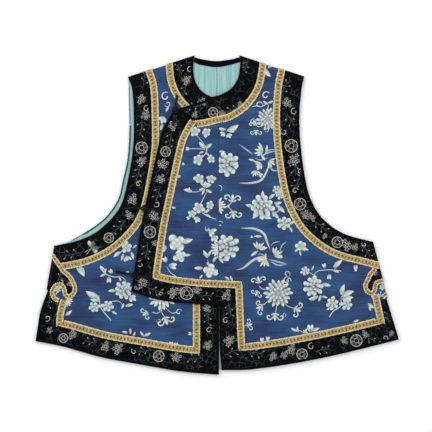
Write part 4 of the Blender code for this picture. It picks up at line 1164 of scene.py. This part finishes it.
for side, sprays, stems in (
    ("right", RIGHT_SPRAYS, RIGHT_STEMS),
    ("overlap", OVERLAP_SPRAYS, OVERLAP_STEMS),
    ("left", LEFT_SPRAYS, LEFT_STEMS),
):
    work = needlework(heights_of(bpy.data.objects[f"front_{side}_silk"]))
    for width, points in stems:
        strand(work, points, width, THREAD_GREY, tip=THREAD_WHITE)
    if side == "left":
        for width, tone, points in LONG_LEAVES:
            strand(work, points, width, tone, lift=0.15, taper=1.0, tip=blend(tone, THREAD_WHITE, 0.45))
    for kind, across, down, size, turn in sprays:
        flower(work, kind, Vector((across, down)), size, turn)
    sewn(f"front_{side}_embroidery", work)

# Embroidery on the borders.
# Small pale pink and grey-green blossoms, rings and twigs lie in clusters on the cracked-ice net of the black
# bands, with a butterfly below the right armhole.
BORDER_PINK = (0.64, 0.53, 0.49)
BORDER_CREAM = (0.80, 0.76, 0.68)
BORDER_GREEN = (0.075, 0.105, 0.092)
BORDER_TEAL = (0.075, 0.150, 0.160)
BORDER_SPRAYS = (
    # kind, across, down, size, turn
    ("twigs", 136, 65, 14, 60), ("cluster", 140, 96, 10, 30), ("tendril", 155, 114, 8, 80),
    ("twigs", 147, 131, 16, 300), ("tendril", 134, 155, 8, 130), ("roundel", 149, 184, 13, 0),
    ("cluster", 155, 213, 13, 60), ("twigs", 155, 229, 16, 280), ("tendril", 167, 237, 8, 300),
    ("twigs", 159, 262, 14, 240), ("tendril", 157, 276, 7, 20), ("roundel", 167, 303, 12, 40),
    ("cluster", 179, 325, 11, 10), ("cluster", 192, 331, 7, 70), ("twigs", 208, 348, 16, 320),
    ("cluster", 218, 368, 6, 20), ("roundel", 243, 381, 11, 20), ("cluster", 263, 387, 12, 50),
    ("cluster", 280, 391, 7, 0), ("tendril", 298, 385, 6, 120), ("twigs", 302, 399, 14, 300),
    ("twigs", 56, 20, 12, 250), ("cluster", 44, 98, 6, 20), ("twigs", 28, 110, 14, 200),
    ("cluster", 7, 118, 7, 80), ("roundel", -11, 116, 10, 30), ("cluster", -32, 94, 9, 10),
    ("twigs", -46, 102, 14, 190), ("cluster", -65, 49, 10, 40), ("twigs", -71, 73, 14, 250),
    ("tendril", -58, 28, 7, 60), ("cluster", -48, 120, 7, 0), ("twigs", -79, 28, 12, 110),
    ("twigs", -151, 49, 14, 80), ("cluster", -157, 88, 10, 20), ("tendril", -147, 108, 7, 70),
    ("cluster", -149, 122, 10, 60), ("twigs", -159, 147, 16, 260), ("roundel", -157, 188, 12, 10),
    ("cluster", -157, 215, 11, 40), ("twigs", -165, 241, 16, 250), ("tendril", -163, 262, 7, 30),
    ("cluster", -175, 293, 11, 0), ("cluster", -183, 325, 9, 50), ("twigs", -202, 348, 16, 220),
    ("roundel", -224, 372, 10, 0), ("butterfly", -259, 393, 18, 40), ("twigs", -300, 405, 16, 190),
    ("cluster", -95, 141, 11, 70), ("twigs", -99, 170, 14, 260), ("roundel", -108, 196, 10, 20),
    ("cluster", -114, 221, 12, 10), ("cluster", -118, 252, 10, 60), ("twigs", -124, 282, 16, 250),
    ("tendril", -126, 303, 7, 200), ("cluster", -132, 327, 11, 30), ("roundel", -140, 360, 12, 0),
    ("cluster", -130, 383, 7, 10), ("twigs", -147, 397, 16, 260), ("tendril", -159, 426, 8, 80),
    ("cluster", -155, 463, 12, 20), ("cluster", -169, 475, 6, 50), ("twigs", -132, 479, 16, 340),
    ("tendril", -118, 487, 5, 0), ("cluster", -93, 483, 12, 40), ("roundel", -65, 485, 13, 30),
    ("cluster", -44, 479, 9, 10), ("cluster", -77, 481, 8, 80), ("twigs", -26, 491, 14, 0),
    ("cluster", 17, 489, 11, 0), ("twigs", 22, 518, 14, 280), ("tendril", 15, 541, 7, 60),
    ("cluster", 22, 582, 12, 40), ("twigs", 28, 606, 16, 20), ("twigs", 75, 608, 16, 350),
    ("cluster", 112, 614, 9, 20), ("cluster", 134, 612, 8, 60), ("cluster", 149, 600, 11, 0),
    ("roundel", 171, 610, 11, 0), ("tendril", 190, 594, 8, 80), ("twigs", 212, 602, 14, 10),
    ("tendril", 231, 614, 6, 200), ("cluster", 257, 582, 8, 30), ("roundel", 282, 582, 12, 20),
    ("cluster", 300, 569, 8, 50), ("twigs", 315, 582, 14, 330), ("tendril", 341, 577, 6, 300),
    ("cluster", 354, 567, 6, 20), ("twigs", 347, 536, 12, 100), ("cluster", 319, 444, 6, 10),
    ("twigs", -22, 536, 14, 270), ("cluster", -24, 516, 9, 30), ("tendril", -19, 561, 7, 30),
    ("cluster", -22, 592, 10, 60), ("twigs", -46, 618, 16, 180), ("cluster", -87, 616, 11, 10),
    ("roundel", -122, 614, 11, 10), ("twigs", -149, 602, 14, 190), ("cluster", -206, 598, 12, 40),
    ("cluster", -231, 594, 10, 0), ("tendril", -173, 604, 6, 120), ("twigs", -261, 584, 14, 170),
    ("cluster", -298, 569, 10, 20), ("roundel", -317, 577, 9, 0), ("tendril", -350, 536, 7, 240),
    ("twigs", -347, 500, 14, 260), ("cluster", -345, 561, 7, 60), ("twigs", -323, 450, 12, 60),
    ("cluster", -304, 465, 6, 0), ("tendril", -321, 461, 5, 180),
)
WINGS = (
    # turn from the body, share of the size, tone
    (35, 0.8, BORDER_GREEN), (75, 0.9, BORDER_CREAM), (-40, 0.8, BORDER_GREEN), (-80, 0.9, BORDER_CREAM),
)


def blossom(work, at, size, turn, outer):
    """A small five-petalled flower of a few stitches a petal."""
    for number in range(5):
        angle = turn + number * 72
        petal(
            work, at + heading(angle) * size * 0.16, angle, size * 0.84, size * 0.6, BORDER_GREEN, outer,
            power=0.5, skew=1.3, steps=3, sides=2,
        )


def border_motif(work, kind, at, size, turn):
    """One motif of the borders. The size is its radius."""
    if kind == "cluster":
        for number in range(6):
            reach = 0.0 if number == 0 else size * (0.62 + 0.2 * sin(number * 2.2 + turn))
            spot = at + heading(turn + number * 72) * reach
            tone = (BORDER_PINK, BORDER_CREAM)[number % 2]
            blossom(work, spot, size * (0.44 - 0.06 * (number % 3)), turn + number * 31, tone)
        for number in range(4):
            foot = at + heading(turn + 40 + number * 90) * size * 0.7
            end = foot + heading(turn + 70 + number * 90) * size * 0.55
            strand(work, [foot, end], 0.8, BORDER_GREEN, lift=0.05)
    elif kind == "roundel":
        for share, tone in ((1.0, BORDER_CREAM), (0.42, BORDER_PINK)):
            rim = [at + heading(turn + number * 45) * size * share for number in range(9)]
            strand(work, rim, 0.9, tone, taper=0.0)
        for number in range(6):
            spot = at + heading(turn + number * 60) * size * 0.72
            blossom(work, spot, size * 0.26, turn + number * 17, (BORDER_GREEN, BORDER_PINK)[number % 2])
    elif kind == "twigs":
        along = heading(turn)
        bow = at + heading(turn + 30) * size * 0.2
        strand(work, [at - along * size, bow, at + along * size], 0.7, BORDER_TEAL)
        for number in range(4):
            foot = at + along * size * (number * 0.45 - 0.7)
            lean = turn + (48 if number % 2 else -52)
            strand(work, [foot, foot + heading(lean) * size * 0.5], 0.7, BORDER_TEAL)
            petal(
                work, foot + heading(lean) * size * 0.4, lean, size * 0.3, size * 0.16, BORDER_GREEN,
                BORDER_CREAM, power=0.8, steps=3, sides=2,
            )
    elif kind == "tendril":
        strand(work, winding(at, size, turn), 1.0, BORDER_CREAM, taper=0.5)
    elif kind == "butterfly":
        for lean, share, tone in WINGS:
            petal(
                work, at, turn + lean, size * share, size * 0.5, BORDER_GREEN, tone,
                power=0.6, skew=1.4, steps=5, sides=4,
            )
        for lean in (170, 190):
            strand(work, [at, at + heading(turn + lean) * size], 0.6, BORDER_CREAM)


borders = needlework(heights_of(*(bpy.data.objects[node + "_satin"] for node in BANDS)))
for kind, across, down, size, turn in BORDER_SPRAYS:
    border_motif(borders, kind, Vector((across, down)), size, turn)
sewn("border_embroidery", borders)

# Seam stitches.
# Small running stitches show along the seam of the lining, in dark thread, and along the centre-front seam,
# in blue thread. Each stands a little on the cloth it goes through.
STITCH_LIFT = 0.05
SEAM_STITCHES = (
    # name, cloth, thread colour, stitch length, step, width, across, from down, to down
    ("lining_seam_stitches", "lining_left_silk", (0.040, 0.130, 0.140), 3.1, 5.6, 0.8, -2.9, 25.0, 84.0),
    ("front_seam_stitches", "front_left_silk", (0.008, 0.020, 0.070), 2.4, 5.0, 0.5, 1.4, 122.0, 480.0),
)
for name, cloth, tone, length, step, width, across, first, last in SEAM_STITCHES:
    work = needlework(heights_of(bpy.data.objects[cloth]))
    for number in range(int((last - first) / step)):
        down = first + number * step
        lean = 0.18 * sin(number * 2.3)
        ends = [(across, down), (across + lean, down + length)]
        strand(work, ends, width, tone, lift=STITCH_LIFT, taper=0.6)
    sewn(name, work)

# Painted fold shadow at the right armhole.
# A thin dark green strip on the back's lining at the right armhole is painted shadow of the lining's folded
# edge.
# It carries the shadow painted on the binding on from both ends of the bound stretch, up to the shoulder and
# down to the underarm.
FOLD_SHADOW_WIDTH = 1.6
FOLD_SHADOW_INSET = 1.2
FOLD_SHADOW_STEP = 4.0
FOLD_EDGE_ROWS = (
    (-184.5, 45.5), (-183.8, 78.0), (-182.4, 151.0), (-186.6, 212.6), (-195.8, 253.6), (-206.6, 295.4),
    (-238.4, 336.6), (-302.4, 377.4), (-332.9, 387.9),
)
FOLD_SHADOW_RUNS = ((58.0, 146.0), (356.0, 378.0))
work = needlework(heights_of(bpy.data.objects["lining_right_silk"]))
edge = smooth_line(FOLD_EDGE_ROWS, FOLD_SHADOW_STEP)
for first, last in FOLD_SHADOW_RUNS:
    run = [place for place in edge if first < place.y < last]
    inside = []
    for start, end in zip(run, run[1:]):
        step = (end - start).normalized()
        inside.append(start + Vector((step.y, -step.x)) * FOLD_SHADOW_INSET)
    # A dark strip of painted shadow along the lining's folded edge.
    strand(work, inside, FOLD_SHADOW_WIDTH, FOLD_SHADOW_GREEN, taper=0.0)
sewn("armhole_piping", work)

low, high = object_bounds()
